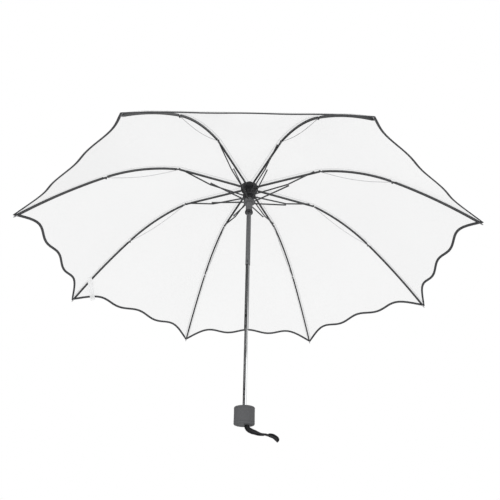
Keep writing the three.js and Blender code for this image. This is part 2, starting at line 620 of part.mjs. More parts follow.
/** A point of the film: how far down from the crown, round from the first rib, and its height off it. */
function filmPoint(distance, step, off) {
  const length = CANOPY_CURVE.getLength();
  const t = THREE.MathUtils.clamp(distance / length, 0, 1);
  const { x, y } = CANOPY_CURVE.getPoint(t);
  const ahead = CANOPY_CURVE.getPoint(Math.min(t + 0.01, 1));
  const back = CANOPY_CURVE.getPoint(Math.max(t - 0.01, 0));
  const along = ahead.sub(back).normalize();
  const radius = x - along.y * off;
  const height = y + along.x * off;
  const gore = Math.floor(step / GORE_STEPS);
  const part = (step % GORE_STEPS) / GORE_STEPS;
  const left = radians(FIRST_RIB_ANGLE + gore * GORE_ANGLE);
  const right = left + radians(GORE_ANGLE);
  return [
    radius * (Math.cos(left) * (1 - part) + Math.cos(right) * part),
    radius * (Math.sin(left) * (1 - part) + Math.sin(right) * part),
    CROWN + height,
  ];
}

/** A closed band round the umbrella: columns of points, each column a loop seen along the band. */
function ringSolid(columnAt, columns) {
  const positions = [];
  const index = [];
  const size = columnAt(0).length;
  for (let i = 0; i < columns; i += 1) positions.push(...columnAt(i).flat());
  for (let i = 0; i < columns; i += 1) {
    const next = ((i + 1) % columns) * size;
    for (let j = 0; j < size; j += 1) {
      const [a, b] = [i * size + j, i * size + ((j + 1) % size)];
      const [c, d] = [next + j, next + ((j + 1) % size)];
      index.push(a, c, b, b, c, d);
    }
  }
  const geometry = new THREE.BufferGeometry();
  geometry.setAttribute('position', new THREE.Float32BufferAttribute(positions, 3));
  geometry.setIndex(index);
  return geometry;
}

/** Canopy: eight clear gores joined into one film with a hole at the crown and a scalloped edge. */
function canopy() {
  return ringSolid((step) => {
    const part = (step % GORE_STEPS) / GORE_STEPS;
    const rings = ringDistances(CANOPY_LENGTH - hemInset(part));
    const inner = rings.map((distance) => filmPoint(distance, step, 0));
    const outer = rings.map((distance) => filmPoint(distance, step, FILM));
    return [...outer, ...inner.reverse()];
  }, RIB_COUNT * GORE_STEPS);
}

/** Hem binding: a dark tape along the scalloped edge. */
function hemBinding() {
  return ringSolid((step) => {
    const part = (step % GORE_STEPS) / GORE_STEPS;
    const start = CANOPY_LENGTH - hemInset(part) + CLEARANCE;
    const rise = (HEM_THICKNESS - FILM) / 2;
    return [
      filmPoint(start, step, -rise), filmPoint(start, step, FILM + rise),
      filmPoint(start + HEM_WIDTH, step, FILM + rise), filmPoint(start + HEM_WIDTH, step, -rise),
    ];
  }, RIB_COUNT * GORE_STEPS);
}

/** Closure strap: a clear tab that crosses under one rib and hangs to the hem. */
function closureStrap() {
  const ribStep = (STRAP_RIB - 1) * GORE_STEPS;
  const under = FILM_ABOVE_RIB + RIB_HEIGHT / 2 + STRAP_UNDER_RIB;
  const upper = new THREE.Vector3(...filmPoint(CANOPY_LENGTH - STRAP_START, ribStep, -under));
  const besideRib = new THREE.Vector3(...filmPoint(CANOPY_LENGTH, ribStep, -under));
  const nextRib = new THREE.Vector3(...filmPoint(CANOPY_LENGTH, ribStep - GORE_STEPS, -under));
  const along = besideRib.lerp(nextRib, STRAP_LEAN).sub(upper).normalize();
  const side = nextRib.sub(upper).projectOnPlane(along).normalize();
  const normal = along.clone().cross(side);
  const geometry = new THREE.BoxGeometry(STRAP_LENGTH, STRAP_WIDTH, STRAP_THICKNESS);
  const middle = upper.addScaledVector(along, STRAP_LENGTH / 2 - STRAP_WIDTH);
  geometry.applyMatrix4(new THREE.Matrix4().makeBasis(along, side, normal).setPosition(middle));
  return solid(geometry);
}

// ---- materials ---------------------------------------------------------------------
/** A material from its colour, roughness and metalness. */
function material(color, roughness, metalness = 0, opacity = 1) {
  return new THREE.MeshStandardMaterial({ color, roughness, metalness, opacity, transparent: opacity < 1 });
}

const MATERIALS = {
  darkSteel: material(0x45474b, 0.35, 0.9),
  greySteel: material(0x8b8e94, 0.3, 0.9),
  chrome: material(0xd6d8db, 0.12, 1),
  wire: material(0xb9bcc0, 0.3, 1),
  moulding: material(0x2b2c30, 0.5),
  grip: material(0x55575c, 0.75),
  button: material(0x1d1e20, 0.45),
  binding: material(0x33353a, 0.8),
  ribbon: material(0x26272b, 0.85),
  film: material(0xe9edf0, 0.15, 0, 0.25),
};

// ---- assembly ------------------------------------------------------------------------
const umbrella = new THREE.Group();

/** Adds a piece to a group under its name; faces are turned outwards if they point in. */
function addPiece(parent, name, shape, surface, height = 0) {
  let geometry = shape instanceof THREE.BufferGeometry ? shape : geometryOf(shape);
  if (signedVolume(geometry) < 0) geometry = flipped(geometry);
  const piece = new THREE.Mesh(geometry, surface.clone());
  piece.name = name;
  piece.position.z = height;
  parent.add(piece);
}

/** The volume inside a geometry, negative when its faces point in. */
function signedVolume(geometry) {
  const points = geometry.attributes.position;
  const index = geometry.index.array;
  const corner = (i) => new THREE.Vector3().fromBufferAttribute(points, index[i]);
  let volume = 0;
  for (let i = 0; i < index.length; i += 3) {
    volume += corner(i).dot(corner(i + 1).cross(corner(i + 2))) / 6;
  }
  return volume;
}

const fixed = [
  ['grip_shell', grip(), MATERIALS.grip],
  ['grip_core', gripCore(), MATERIALS.moulding],
  ['grip_end_cap', gripEndCap(), MATERIALS.grip],
  ['wrist_strap', wristStrap(), MATERIALS.ribbon],
  ['shaft_inner_tube', innerTube(), MATERIALS.chrome],
  ['shaft_middle_tube', middleTube(), MATERIALS.greySteel],
  ['shaft_outer_tube', outerTube(), MATERIALS.darkSteel],
  ['lower_tube_button', tubeButton(MIDDLE_TUBE_RADIUS, LOWER_BUTTON_Z), MATERIALS.button],
  ['upper_tube_button', tubeButton(OUTER_TUBE_RADIUS, UPPER_BUTTON_Z), MATERIALS.button],
  ['runner_catch', runnerCatch(), MATERIALS.button],
  ['canopy', canopy(), MATERIALS.film],
  ['hem_binding', hemBinding(), MATERIALS.binding],
  ['closure_strap', closureStrap(), MATERIALS.film],
];
for (const [name, shape, surface] of fixed) addPiece(umbrella, name, shape, surface);

const hub = [
  ['top_notch', topNotch(), MATERIALS.moulding],
  ['notch_cap', notchCap(), MATERIALS.moulding],
  ['notch_rib_wire', wireRing(TOP_PIVOT), MATERIALS.wire],
  ['notch_link_wire', wireRing(LINK_PIVOT), MATERIALS.wire],
  ['runner', runner(), MATERIALS.moulding],
  ['runner_collar', runnerCollar(), MATERIALS.moulding],
  ['runner_wire', wireRing(RUNNER_PIVOT), MATERIALS.wire],
];
for (const [name, shape, surface] of hub) addPiece(umbrella, name, shape, surface, CROWN);

const ribPieces = [
  ['top_rib', topRib(), MATERIALS.darkSteel],
  ['middle_rib', middleRib(), MATERIALS.darkSteel],
  ['outer_rib', outerRib(), MATERIALS.darkSteel],
  ['control_link', controlLink(), MATERIALS.darkSteel],
  ['stretcher', stretcher(), MATERIALS.darkSteel],
];
for (let i = 0; i < RIB_COUNT; i += 1) {
  const ribPlane = new THREE.Group();
  ribPlane.rotation.z = radians(FIRST_RIB_ANGLE + GORE_ANGLE * i);
  ribPlane.position.z = CROWN;
  umbrella.add(ribPlane);
  for (const [name, shape, surface] of ribPieces) addPiece(ribPlane, `${name}_${i + 1}`, shape, surface);
}

export default umbrella;
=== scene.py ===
"""Looks of a clear folding umbrella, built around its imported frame.

Shapes are made in millimetres and angles given in degrees, and `piece` turns a finished mesh to
metres in the frame's own axes: +Z up the shaft, origin at the centre of the grip. A rib's plane has
its own two numbers, radius and height under the crown, and RibPlane turns them into places.
"""

import logging
import math
from dataclasses import dataclass
from enum import Enum
from typing import Callable, Sequence

import bmesh
import bpy
from mathutils import Matrix, Vector

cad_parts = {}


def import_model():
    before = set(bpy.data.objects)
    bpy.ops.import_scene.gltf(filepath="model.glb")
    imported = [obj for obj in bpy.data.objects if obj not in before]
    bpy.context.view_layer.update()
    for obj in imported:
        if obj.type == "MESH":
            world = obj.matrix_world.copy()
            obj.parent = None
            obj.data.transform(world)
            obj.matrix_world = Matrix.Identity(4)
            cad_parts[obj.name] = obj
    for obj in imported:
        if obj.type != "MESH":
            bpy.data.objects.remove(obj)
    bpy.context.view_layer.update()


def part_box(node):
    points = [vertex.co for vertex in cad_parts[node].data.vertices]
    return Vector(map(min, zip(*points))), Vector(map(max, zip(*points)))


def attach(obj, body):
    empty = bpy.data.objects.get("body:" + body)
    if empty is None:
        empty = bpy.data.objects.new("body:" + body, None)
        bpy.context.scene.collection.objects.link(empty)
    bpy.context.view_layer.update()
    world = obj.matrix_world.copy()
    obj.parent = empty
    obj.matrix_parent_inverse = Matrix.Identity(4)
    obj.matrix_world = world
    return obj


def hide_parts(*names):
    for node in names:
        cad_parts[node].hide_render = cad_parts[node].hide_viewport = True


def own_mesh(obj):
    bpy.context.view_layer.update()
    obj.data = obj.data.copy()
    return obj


LOG = logging.getLogger("umbrella")
MM = 0.001
RIBS = 8
GORE = 360.0 / RIBS
Pair = tuple[float, float]
Place = Callable[[float, float], Vector]


class Finish(Enum):
    """The finishes that pieces take."""

    DARK_STEEL = "dark_steel"
    SHAFT = "dark_steel_tube"
    RIVET = "bright_rivet"
    RUNNER = "grey_moulding"
    GREY_STEEL = "grey_steel"
    BRIGHT_STEEL = "bright_steel"
    WIRE = "spring_wire"
    MOULDING = "black_moulding"
    GRIP = "soft_grip"
    BUTTON = "button"
    RIBBON = "ribbon"
    BINDING = "binding_tape"
    FILM = "clear_film"
    STRAP = "clear_strap"
    WELD = "clear_film_weld"
    SEAM = "clear_film_seam"


# ---- finishes ----------------------------------------------------------------


@dataclass(frozen=True)
class Surface:
    """One finish: colours between which it varies, and how its surface is broken up."""

    light: tuple[float, float, float]
    dark: tuple[float, float, float]
    roughness: float
    grain: float = 300.0
    stretch: tuple[float, float, float] = (1.0, 1.0, 1.0)
    metallic: float = 0.0
    specular: float = 0.5
    alpha: float = 1.0
    bump: float = 0.1
    bump_depth: float = 0.0001
    weave: float = 0.0
    coat: float = 0.0

    def material(self, name: str) -> bpy.types.Material:
        """Makes the finish's material.

        Args:
            name: The material's name.

        Returns:
            A node material with varied colour, roughness and bump.
        """
        made = bpy.data.materials.new(name)
        made.use_nodes = True
        nodes, links = made.node_tree.nodes, made.node_tree.links
        shader = nodes["Principled BSDF"]
        shader.inputs["Metallic"].default_value = self.metallic
        shader.inputs["Specular IOR Level"].default_value = self.specular
        shader.inputs["Alpha"].default_value = self.alpha
        shader.inputs["Coat Weight"].default_value = self.coat
        place = nodes.new("ShaderNodeTexCoord")
        mapping = nodes.new("ShaderNodeMapping")
        mapping.inputs["Scale"].default_value = self.stretch
        links.new(place.outputs["Object"], mapping.inputs["Vector"])
        grain = nodes.new("ShaderNodeTexNoise")
        grain.inputs["Scale"].default_value = self.grain
        grain.inputs["Detail"].default_value = 6.0
        links.new(mapping.outputs["Vector"], grain.inputs["Vector"])
        colour = nodes.new("ShaderNodeMix")
        colour.data_type = "RGBA"
        colour.inputs["A"].default_value = (*self.dark, 1.0)
        colour.inputs["B"].default_value = (*self.light, 1.0)
        links.new(grain.outputs["Fac"], colour.inputs["Factor"])
        links.new(colour.outputs["Result"], shader.inputs["Base Color"])
        rough = nodes.new("ShaderNodeMapRange")
        rough.inputs["To Min"].default_value = max(self.roughness - 0.08, 0.02)
        rough.inputs["To Max"].default_value = self.roughness + 0.08
        links.new(grain.outputs["Fac"], rough.inputs["Value"])
        links.new(rough.outputs["Result"], shader.inputs["Roughness"])
        relief = grain.outputs["Fac"]
        if self.weave:
            relief = self._weave(nodes, links, place)
        bump = nodes.new("ShaderNodeBump")
        bump.inputs["Strength"].default_value = self.bump
        bump.inputs["Distance"].default_value = self.bump_depth
        links.new(relief, bump.inputs["Height"])
        links.new(bump.outputs["Normal"], shader.inputs["Normal"])
        return made

    def _weave(self, nodes, links, place) -> bpy.types.NodeSocket:
        """Adds crossed threads, `weave` of them to a metre, along the piece's own UV map."""
        threads = []
        for direction in ("X", "Y"):
            wave = nodes.new("ShaderNodeTexWave")
            wave.bands_direction = direction
            wave.inputs["Scale"].default_value = self.weave
            wave.inputs["Distortion"].default_value = 0.4
            links.new(place.outputs["UV"], wave.inputs["Vector"])
            threads.append(wave.outputs["Fac"])
        cross = nodes.new("ShaderNodeMath")
        cross.operation = "MULTIPLY"
        links.new(threads[0], cross.inputs[0])
        links.new(threads[1], cross.inputs[1])
        return cross.outputs["Value"]


SURFACES = {
    Finish.DARK_STEEL: Surface(
        light=(0.082, 0.083, 0.086), dark=(0.045, 0.046, 0.048), roughness=0.42, grain=420,
        metallic=0.2, specular=0.35, bump=0.15, bump_depth=0.00005),
    Finish.SHAFT: Surface(
        light=(0.115, 0.116, 0.119), dark=(0.09, 0.091, 0.094), roughness=0.38, grain=260,
        stretch=(6.0, 6.0, 0.15), metallic=0.25, specular=0.35, bump=0.05, bump_depth=0.00002),
    Finish.GREY_STEEL: Surface(
        light=(0.32, 0.323, 0.326), dark=(0.26, 0.263, 0.266), roughness=0.22, grain=200,
        stretch=(4.0, 4.0, 0.05), metallic=1.0, bump=0.01, bump_depth=0.00001),
    Finish.BRIGHT_STEEL: Surface(
        light=(0.64, 0.645, 0.65), dark=(0.55, 0.555, 0.56), roughness=0.16, grain=200,
        stretch=(4.0, 4.0, 0.05), metallic=1.0, bump=0.01, bump_depth=0.00001),
    Finish.RIVET: Surface(
        light=(0.3, 0.3, 0.305), dark=(0.2, 0.2, 0.205), roughness=0.3, grain=300, metallic=1.0),
    Finish.WIRE: Surface(
        light=(0.45, 0.45, 0.46), dark=(0.32, 0.32, 0.33), roughness=0.35, grain=500, metallic=0.9),
    Finish.MOULDING: Surface(
        light=(0.026, 0.026, 0.028), dark=(0.014, 0.014, 0.015), roughness=0.45, grain=900,
        specular=0.3, bump=0.2, bump_depth=0.00005),
    Finish.RUNNER: Surface(
        light=(0.1, 0.101, 0.104), dark=(0.07, 0.071, 0.074), roughness=0.45, grain=900,
        specular=0.3, bump=0.2, bump_depth=0.00005),
    Finish.GRIP: Surface(
        light=(0.083, 0.084, 0.087), dark=(0.058, 0.059, 0.062), roughness=0.72, grain=1500,
        specular=0.22, bump=0.35, bump_depth=0.00008),
    Finish.BUTTON: Surface(
        light=(0.03, 0.03, 0.032), dark=(0.018, 0.018, 0.019), roughness=0.35, grain=900),
    Finish.RIBBON: Surface(
        light=(0.03, 0.03, 0.032), dark=(0.012, 0.012, 0.013), roughness=0.9, grain=1800,
        specular=0.12, bump=0.6, bump_depth=0.00015, weave=220),
    Finish.BINDING: Surface(
        light=(0.055, 0.056, 0.059), dark=(0.032, 0.033, 0.035), roughness=0.75, grain=900,
        specular=0.2, bump=0.5, bump_depth=0.00012, weave=260),
    Finish.FILM: Surface(
        light=(0.53, 0.533, 0.536), dark=(0.43, 0.433, 0.436), roughness=0.25, grain=7,
        specular=0.2, alpha=0.2, bump=0.12, bump_depth=0.002),
    Finish.WELD: Surface(
        light=(0.5, 0.51, 0.52), dark=(0.42, 0.43, 0.445), roughness=0.3, grain=60,
        specular=0.2, alpha=0.27, bump=0.2, bump_depth=0.001),
    Finish.SEAM: Surface(
        light=(0.16, 0.16, 0.165), dark=(0.1, 0.1, 0.105), roughness=0.35, grain=120,
        specular=0.2, alpha=0.55, bump=0.2, bump_depth=0.0005),
    Finish.STRAP: Surface(
        light=(0.8, 0.802, 0.804), dark=(0.75, 0.752, 0.754), roughness=0.4, grain=60,
        specular=0.2, alpha=0.76, bump=0.1, bump_depth=0.0005),
}


class Finishes:
    """Makes each material once and hands it out."""

    def __init__(self) -> None:
        """Starts with no material made."""
        self._made: dict[Finish, bpy.types.Material] = {}

    def get(self, finish: Finish) -> bpy.types.Material:
        """Returns the finish's material, which is made the first time."""
        if finish not in self._made:
            self._made[finish] = SURFACES[finish].material(finish.value)
        return self._made[finish]


# ---- mesh tools ---------------------------------------------------------------


def mapped_grid(bm: bmesh.types.BMesh, across: int, along: int, place: Place,
                size: Pair = (1.0, 1.0), slot_at: Callable[[float], int] = lambda u: 0) -> list:
    """Adds a grid whose points are moved to a surface.

    Args:
        bm: The mesh that gets it.
        across: Faces along the grid's first direction.
        along: Faces along the second.
        place: Gives a point's place from its two parts of the way, each 0 to 1.
        size: The surface's two sizes in metres, for its UV map.
        slot_at: Gives a face's material slot from its part of the way along the first direction.

    Returns:
        The grid's vertices.
    """
    layer = bm.loops.layers.uv.verify()
    made = bmesh.ops.create_grid(bm, x_segments=across, y_segments=along, size=0.5)["verts"]
    parts = {v: (v.co.x + 0.5, v.co.y + 0.5) for v in made}
    for face in {f for v in made for f in v.link_faces}:
        face.material_index = slot_at(sum(parts[v][0] for v in face.verts) / len(face.verts))
        for loop in face.loops:
            u, v = parts[loop.vert]
            loop[layer].uv = (u * size[0], v * size[1])
    for vert, (u, v) in parts.items():
        vert.co = place(u, v)
    return made


def frames_along(path: Sequence[Vector], sides: Sequence[Vector]) -> list[Matrix]:
    """Frames at a path's points: Z along it, Y nearest to the point's side, and X across both."""
    frames = []
    last = len(path) - 1
    for i, point in enumerate(path):
        along = (path[min(i + 1, last)] - path[max(i - 1, 0)]).normalized()
        across = sides[min(i, len(sides) - 1)].cross(along).normalized()
        up = along.cross(across)
        frames.append(Matrix((
            (across.x, up.x, along.x, point.x), (across.y, up.y, along.y, point.y),
            (across.z, up.z, along.z, point.z), (0, 0, 0, 1))))
    return frames


def swept(bm: bmesh.types.BMesh, section: Sequence[Pair], frames: Sequence[Matrix], slot: int = 0,
          scales: Sequence[float] = ()) -> None:
    """Pulls a closed section through frames, and closes both ends.

    Args:
        bm: The mesh that gets it, in millimetres.
        section: The section's points, in a frame's X and Y.
        frames: Where the section goes, in order.
        slot: The faces' material slot.
        scales: The section's size at each frame, all 1 when left out.
    """
    sides, stations = len(section), len(frames) - 1
    sizes = list(scales) or [1.0] * len(frames)

    def place(u: float, v: float) -> Vector:
        """Gives a section point at a station."""
        x, y = section[round(u * sides) % sides]
        station = round(v * stations)
        return frames[station] @ Vector((x * sizes[station], y * sizes[station], 0))

    girth = sum(math.dist(section[i - 1], section[i]) for i in range(sides))
    length = sum((a.translation - b.translation).length for a, b in zip(frames, frames[1:]))
    verts = mapped_grid(bm, sides, stations, place, (girth * MM, length * MM), lambda u: slot)
    kept = set(bm.verts) - set(verts)
    bmesh.ops.remove_doubles(bm, verts=verts, dist=0.0001)
    ends = [e for e in bm.edges if e.is_boundary and not kept & set(e.verts)]
    for face in bmesh.ops.holes_fill(bm, edges=ends, sides=0)["faces"]:
        face.material_index = slot


def rounded(width: float, height: float, corner: float, steps: int = 2) -> list[Pair]:
    """The outline of a rectangle with round corners."""
    points = []
    for quarter, (sx, sy) in enumerate(((1, 1), (-1, 1), (-1, -1), (1, -1))):
        for i in range(steps + 1):
            angle = math.radians(90 * quarter + 90 * i / steps)
            points.append((sx * (width / 2 - corner) + corner * math.cos(angle),
                           sy * (height / 2 - corner) + corner * math.sin(angle)))
    return points


def circle(radius: float, sides: int) -> list[Pair]:
    """The outline of a circle."""
    turn = math.tau / sides
    return [(radius * math.cos(i * turn), radius * math.sin(i * turn)) for i in range(sides)]


def channel(width: float, height: float, wall: float) -> list[Pair]:
    """The outline of a channel that is open below, with its upper edges broken."""
    half, inner, top, low = width / 2, width / 2 - wall, height / 2, -height / 2
    nick = wall * 0.8
    return [(-half, low), (-half, top - nick), (-half + nick, top), (half - nick, top),
            (half, top - nick), (half, low), (inner, low), (inner, top - wall),
            (-inner, top - wall), (-inner, low)]


def spun(bm: bmesh.types.BMesh, outline: Sequence[Pair], steps: int = 64, slot: int = 0) -> None:
    """Turns a closed outline of (radius, height) about the shaft.

    Args:
        bm: The mesh that gets it, in millimetres.
        outline: The outline, which may run along the axis.
        steps: Steps of the turn.
        slot: The faces' material slot.
    """
    verts = [bm.verts.new((r, 0, z)) for r, z in outline]
    edges = [bm.edges.new(pair) for pair in zip(verts, verts[1:] + verts[:1])]
    edges = [e for e in edges if max(v.co.x for v in e.verts) > 0]
    known = set(bm.faces)
    bmesh.ops.spin(bm, geom=verts + edges, cent=(0, 0, 0), axis=(0, 0, 1), angle=math.tau,
                   steps=steps, use_merge=True)
    bmesh.ops.remove_doubles(bm, verts=bm.verts, dist=0.0001)
    loose = [e for e in bm.edges if not e.link_faces]
    bmesh.ops.delete(bm, geom=loose, context="EDGES")
    for face in set(bm.faces) - known:
        face.material_index = slot


def fillet(outline: Sequence[Pair], radius: float, steps: int = 4) -> list[Pair]:
    """Rounds an outline's corners that stand off the axis.

    Args:
        outline: The closed outline.
        radius: The corners' radius, less where an edge is short.
        steps: Faces round each corner.

    Returns:
        The rounded outline.
    """
    points: list[Pair] = []
    count = len(outline)
    for i in range(count):
        corner = Vector(outline[i])
        before, after = Vector(outline[i - 1]) - corner, Vector(outline[(i + 1) % count]) - corner
        reach = min(radius, before.length * 0.45, after.length * 0.45)
        if corner.x <= 0 or reach < 0.01:
            points.append(tuple(corner))
            continue
        start, end = corner + before.normalized() * reach, corner + after.normalized() * reach
        for j in range(steps + 1):
            t = j / steps
            bend = start * (1 - t) ** 2 + corner * (2 * t * (1 - t)) + end * t ** 2
            points.append((bend.x, bend.y))
    return points


def rivet(bm: bmesh.types.BMesh, centre: Pair, radius: float, low: float, high: float,
          dome: float, slot: int = 0) -> None:
    """Adds a pin with domed ends across a rib's plane.

    Args:
        bm: The mesh that gets it, in millimetres.
        centre: The pin's (radius, height under the crown).
        radius: The pin's own radius.
        low: Where its shank starts across the plane.
        high: Where it ends.
        dome: How far each end stands out past that.
        slot: The faces' material slot.
    """
    stations = [(low - dome, 0.45), (low - dome * 0.55, 0.85), (low, 1.0), (high, 1.0),
                (high + dome * 0.55, 0.85), (high + dome, 0.45)]
    path = [Vector((centre[0], y, centre[1])) for y, _ in stations]
    swept(bm, circle(radius, 14), frames_along(path, [Vector((0, 0, 1))]), slot,
          [s for _, s in stations])


def piece(bm: bmesh.types.BMesh, name: str, materials: Sequence[bpy.types.Material], body: str,
          slot: Finish, at: Matrix, nodes: Sequence[str] = (), closed: bool = True,
          crease: float = 38.0) -> bpy.types.Object:
    """Finishes a mesh as a piece that rides on a body.

    Args:
        bm: The mesh in millimetres, which is freed.
        name: The piece's name.
        materials: Its materials, in slot order.
        body: The body that it rides on.
        slot: Not used.
        at: Takes the mesh to its place, in metres.
        nodes: The CAD nodes that it stands for.
        closed: False for a single sheet, which is turned to face up.
        crease: Edges that bend by more than this stay sharp.

    Returns:
        The piece's object.
    """
    bmesh.ops.transform(bm, matrix=at, verts=bm.verts)
    bmesh.ops.remove_doubles(bm, verts=bm.verts, dist=0.000001)
    if closed:
        bmesh.ops.recalc_face_normals(bm, faces=bm.faces)
    else:
        bm.normal_update()
        down = [f for f in bm.faces if f.normal.z < 0]
        bmesh.ops.reverse_faces(bm, faces=down)
    for face in bm.faces:
        face.smooth = True
    for edge in bm.edges:
        edge.smooth = len(edge.link_faces) < 2 or edge.calc_face_angle(0.0) < math.radians(crease)
    mesh = bpy.data.meshes.new(name)
    bm.to_mesh(mesh)
    bm.free()
    for material in materials:
        mesh.materials.append(material)
    made = bpy.data.objects.new(name, mesh)
    bpy.context.collection.objects.link(made)
    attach(made, body)
    if nodes:
        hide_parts(*nodes)
    LOG.info("%s: %d faces on %s", name, len(mesh.polygons), body)
    return made


# ---- the frame's own line -------------------------------------------------------


def slope(degrees: float) -> Vector:
    """The direction of a slope below level, outwards from the shaft."""
    return Vector((math.cos(math.radians(degrees)), -math.sin(math.radians(degrees))))


def lifted(point: Sequence[float], degrees: float, distance: float) -> Vector:
    """A point moved square to a slope, upwards when the distance is positive."""
    along = slope(degrees)
    return Vector(point) + Vector((-along.y, along.x)) * distance


@dataclass(frozen=True)
class RibLine:
    """The open rib's line in its plane, in millimetres from the shaft and under the crown."""

    top_pivot: Pair = (18.0, -9.0)
    link_pivot: Pair = (14.0, -31.0)
    runner_pivot: Pair = (11.5, -48.0)
    link_joint: Pair = (98.0, -26.0)
    top_length: float = 158.0
    middle_length: float = 173.7
    outer_length: float = 208.2
    middle_start: float = 12.6
    middle_end: float = 39.6
    outer_end: float = 50.0
    lever_length: float = 13.96
    hinge_offset: float = 1.9
    film_lift: float = 4.4

    @property
    def elbow(self) -> Vector:
        """The pin between the top and the middle rib."""
        return Vector((self.top_pivot[0] + self.top_length, self.top_pivot[1] + self.hinge_offset))

    @property
    def lever_end(self) -> Vector:
        """The pin at the middle rib's inner end."""
        return self.elbow - Vector((self.lever_length, 0))

    @property
    def knuckle(self) -> Vector:
        """The pin between the middle and the outer rib."""
        return lifted(self.middle(1.0), self.middle_end, -self.hinge_offset)

    def arc(self, start: Vector, first: float, last: float, length: float, part: float) -> Vector:
        """A point part of the way along an arc between two slopes."""
        radius = length / (2 * math.sin(math.radians(last - first) / 2))
        a, b = math.radians(first), math.radians(first + (last - first) * part)
        return start + Vector((math.sin(b) - math.sin(a), math.cos(b) - math.cos(a))) * radius

    def middle(self, part: float, lift: float = 0.0) -> Vector:
        """A point of the middle rib's line, or over it."""
        start = lifted(self.elbow, self.middle_start, -self.hinge_offset)
        point = self.arc(start, self.middle_start, self.middle_end, self.middle_length, part)
        return lifted(point, self.middle_start + (self.middle_end - self.middle_start) * part, lift)

    def outer(self, part: float, lift: float = 0.0) -> Vector:
        """A point of the outer rib's line, or over it."""
        point = self.arc(self.middle(1.0), self.middle_end, self.outer_end, self.outer_length, part)
        return lifted(point, self.middle_end + (self.outer_end - self.middle_end) * part, lift)


@dataclass(frozen=True)
class RibPlane:
    """The plane of one rib. Its matrix takes (radius, side, height under the crown) to its place."""

    number: int
    crown: float
    first: float = GORE / 2
    step: float = GORE

    @property
    def azimuth(self) -> float:
        """The plane's angle about the shaft, in radians."""
        return math.radians(self.first + self.step * (self.number - 1))

    @property
    def across(self) -> Vector:
        """The direction square to the plane."""
        return Vector((-math.sin(self.azimuth), math.cos(self.azimuth), 0))

    @property
    def matrix(self) -> Matrix:
        """Takes millimetres in the plane to metres in the frame."""
        lift = Matrix.Translation((0, 0, self.crown))
        return lift @ Matrix.Rotation(self.azimuth, 4, "Z") @ Matrix.Scale(MM, 4)


def in_plane(points: Sequence[Sequence[float]], side: float = 0.0) -> list[Vector]:
    """Points of (radius, height) as places in a rib's plane, moved to one side of it."""
    return [Vector((p[0], side, p[1])) for p in points]


UP = Vector((0, 0, 1))


def bar(bm: bmesh.types.BMesh, section: Sequence[Pair], points: Sequence[Sequence[float]],
        side: float = 0.0, slot: int = 0, scales: Sequence[float] = ()) -> None:
    """Adds a bar of the section along points of a rib's plane."""
    swept(bm, section, frames_along(in_plane(points, side), [UP]), slot, scales)


# ---- ribs -------------------------------------------------------------------------


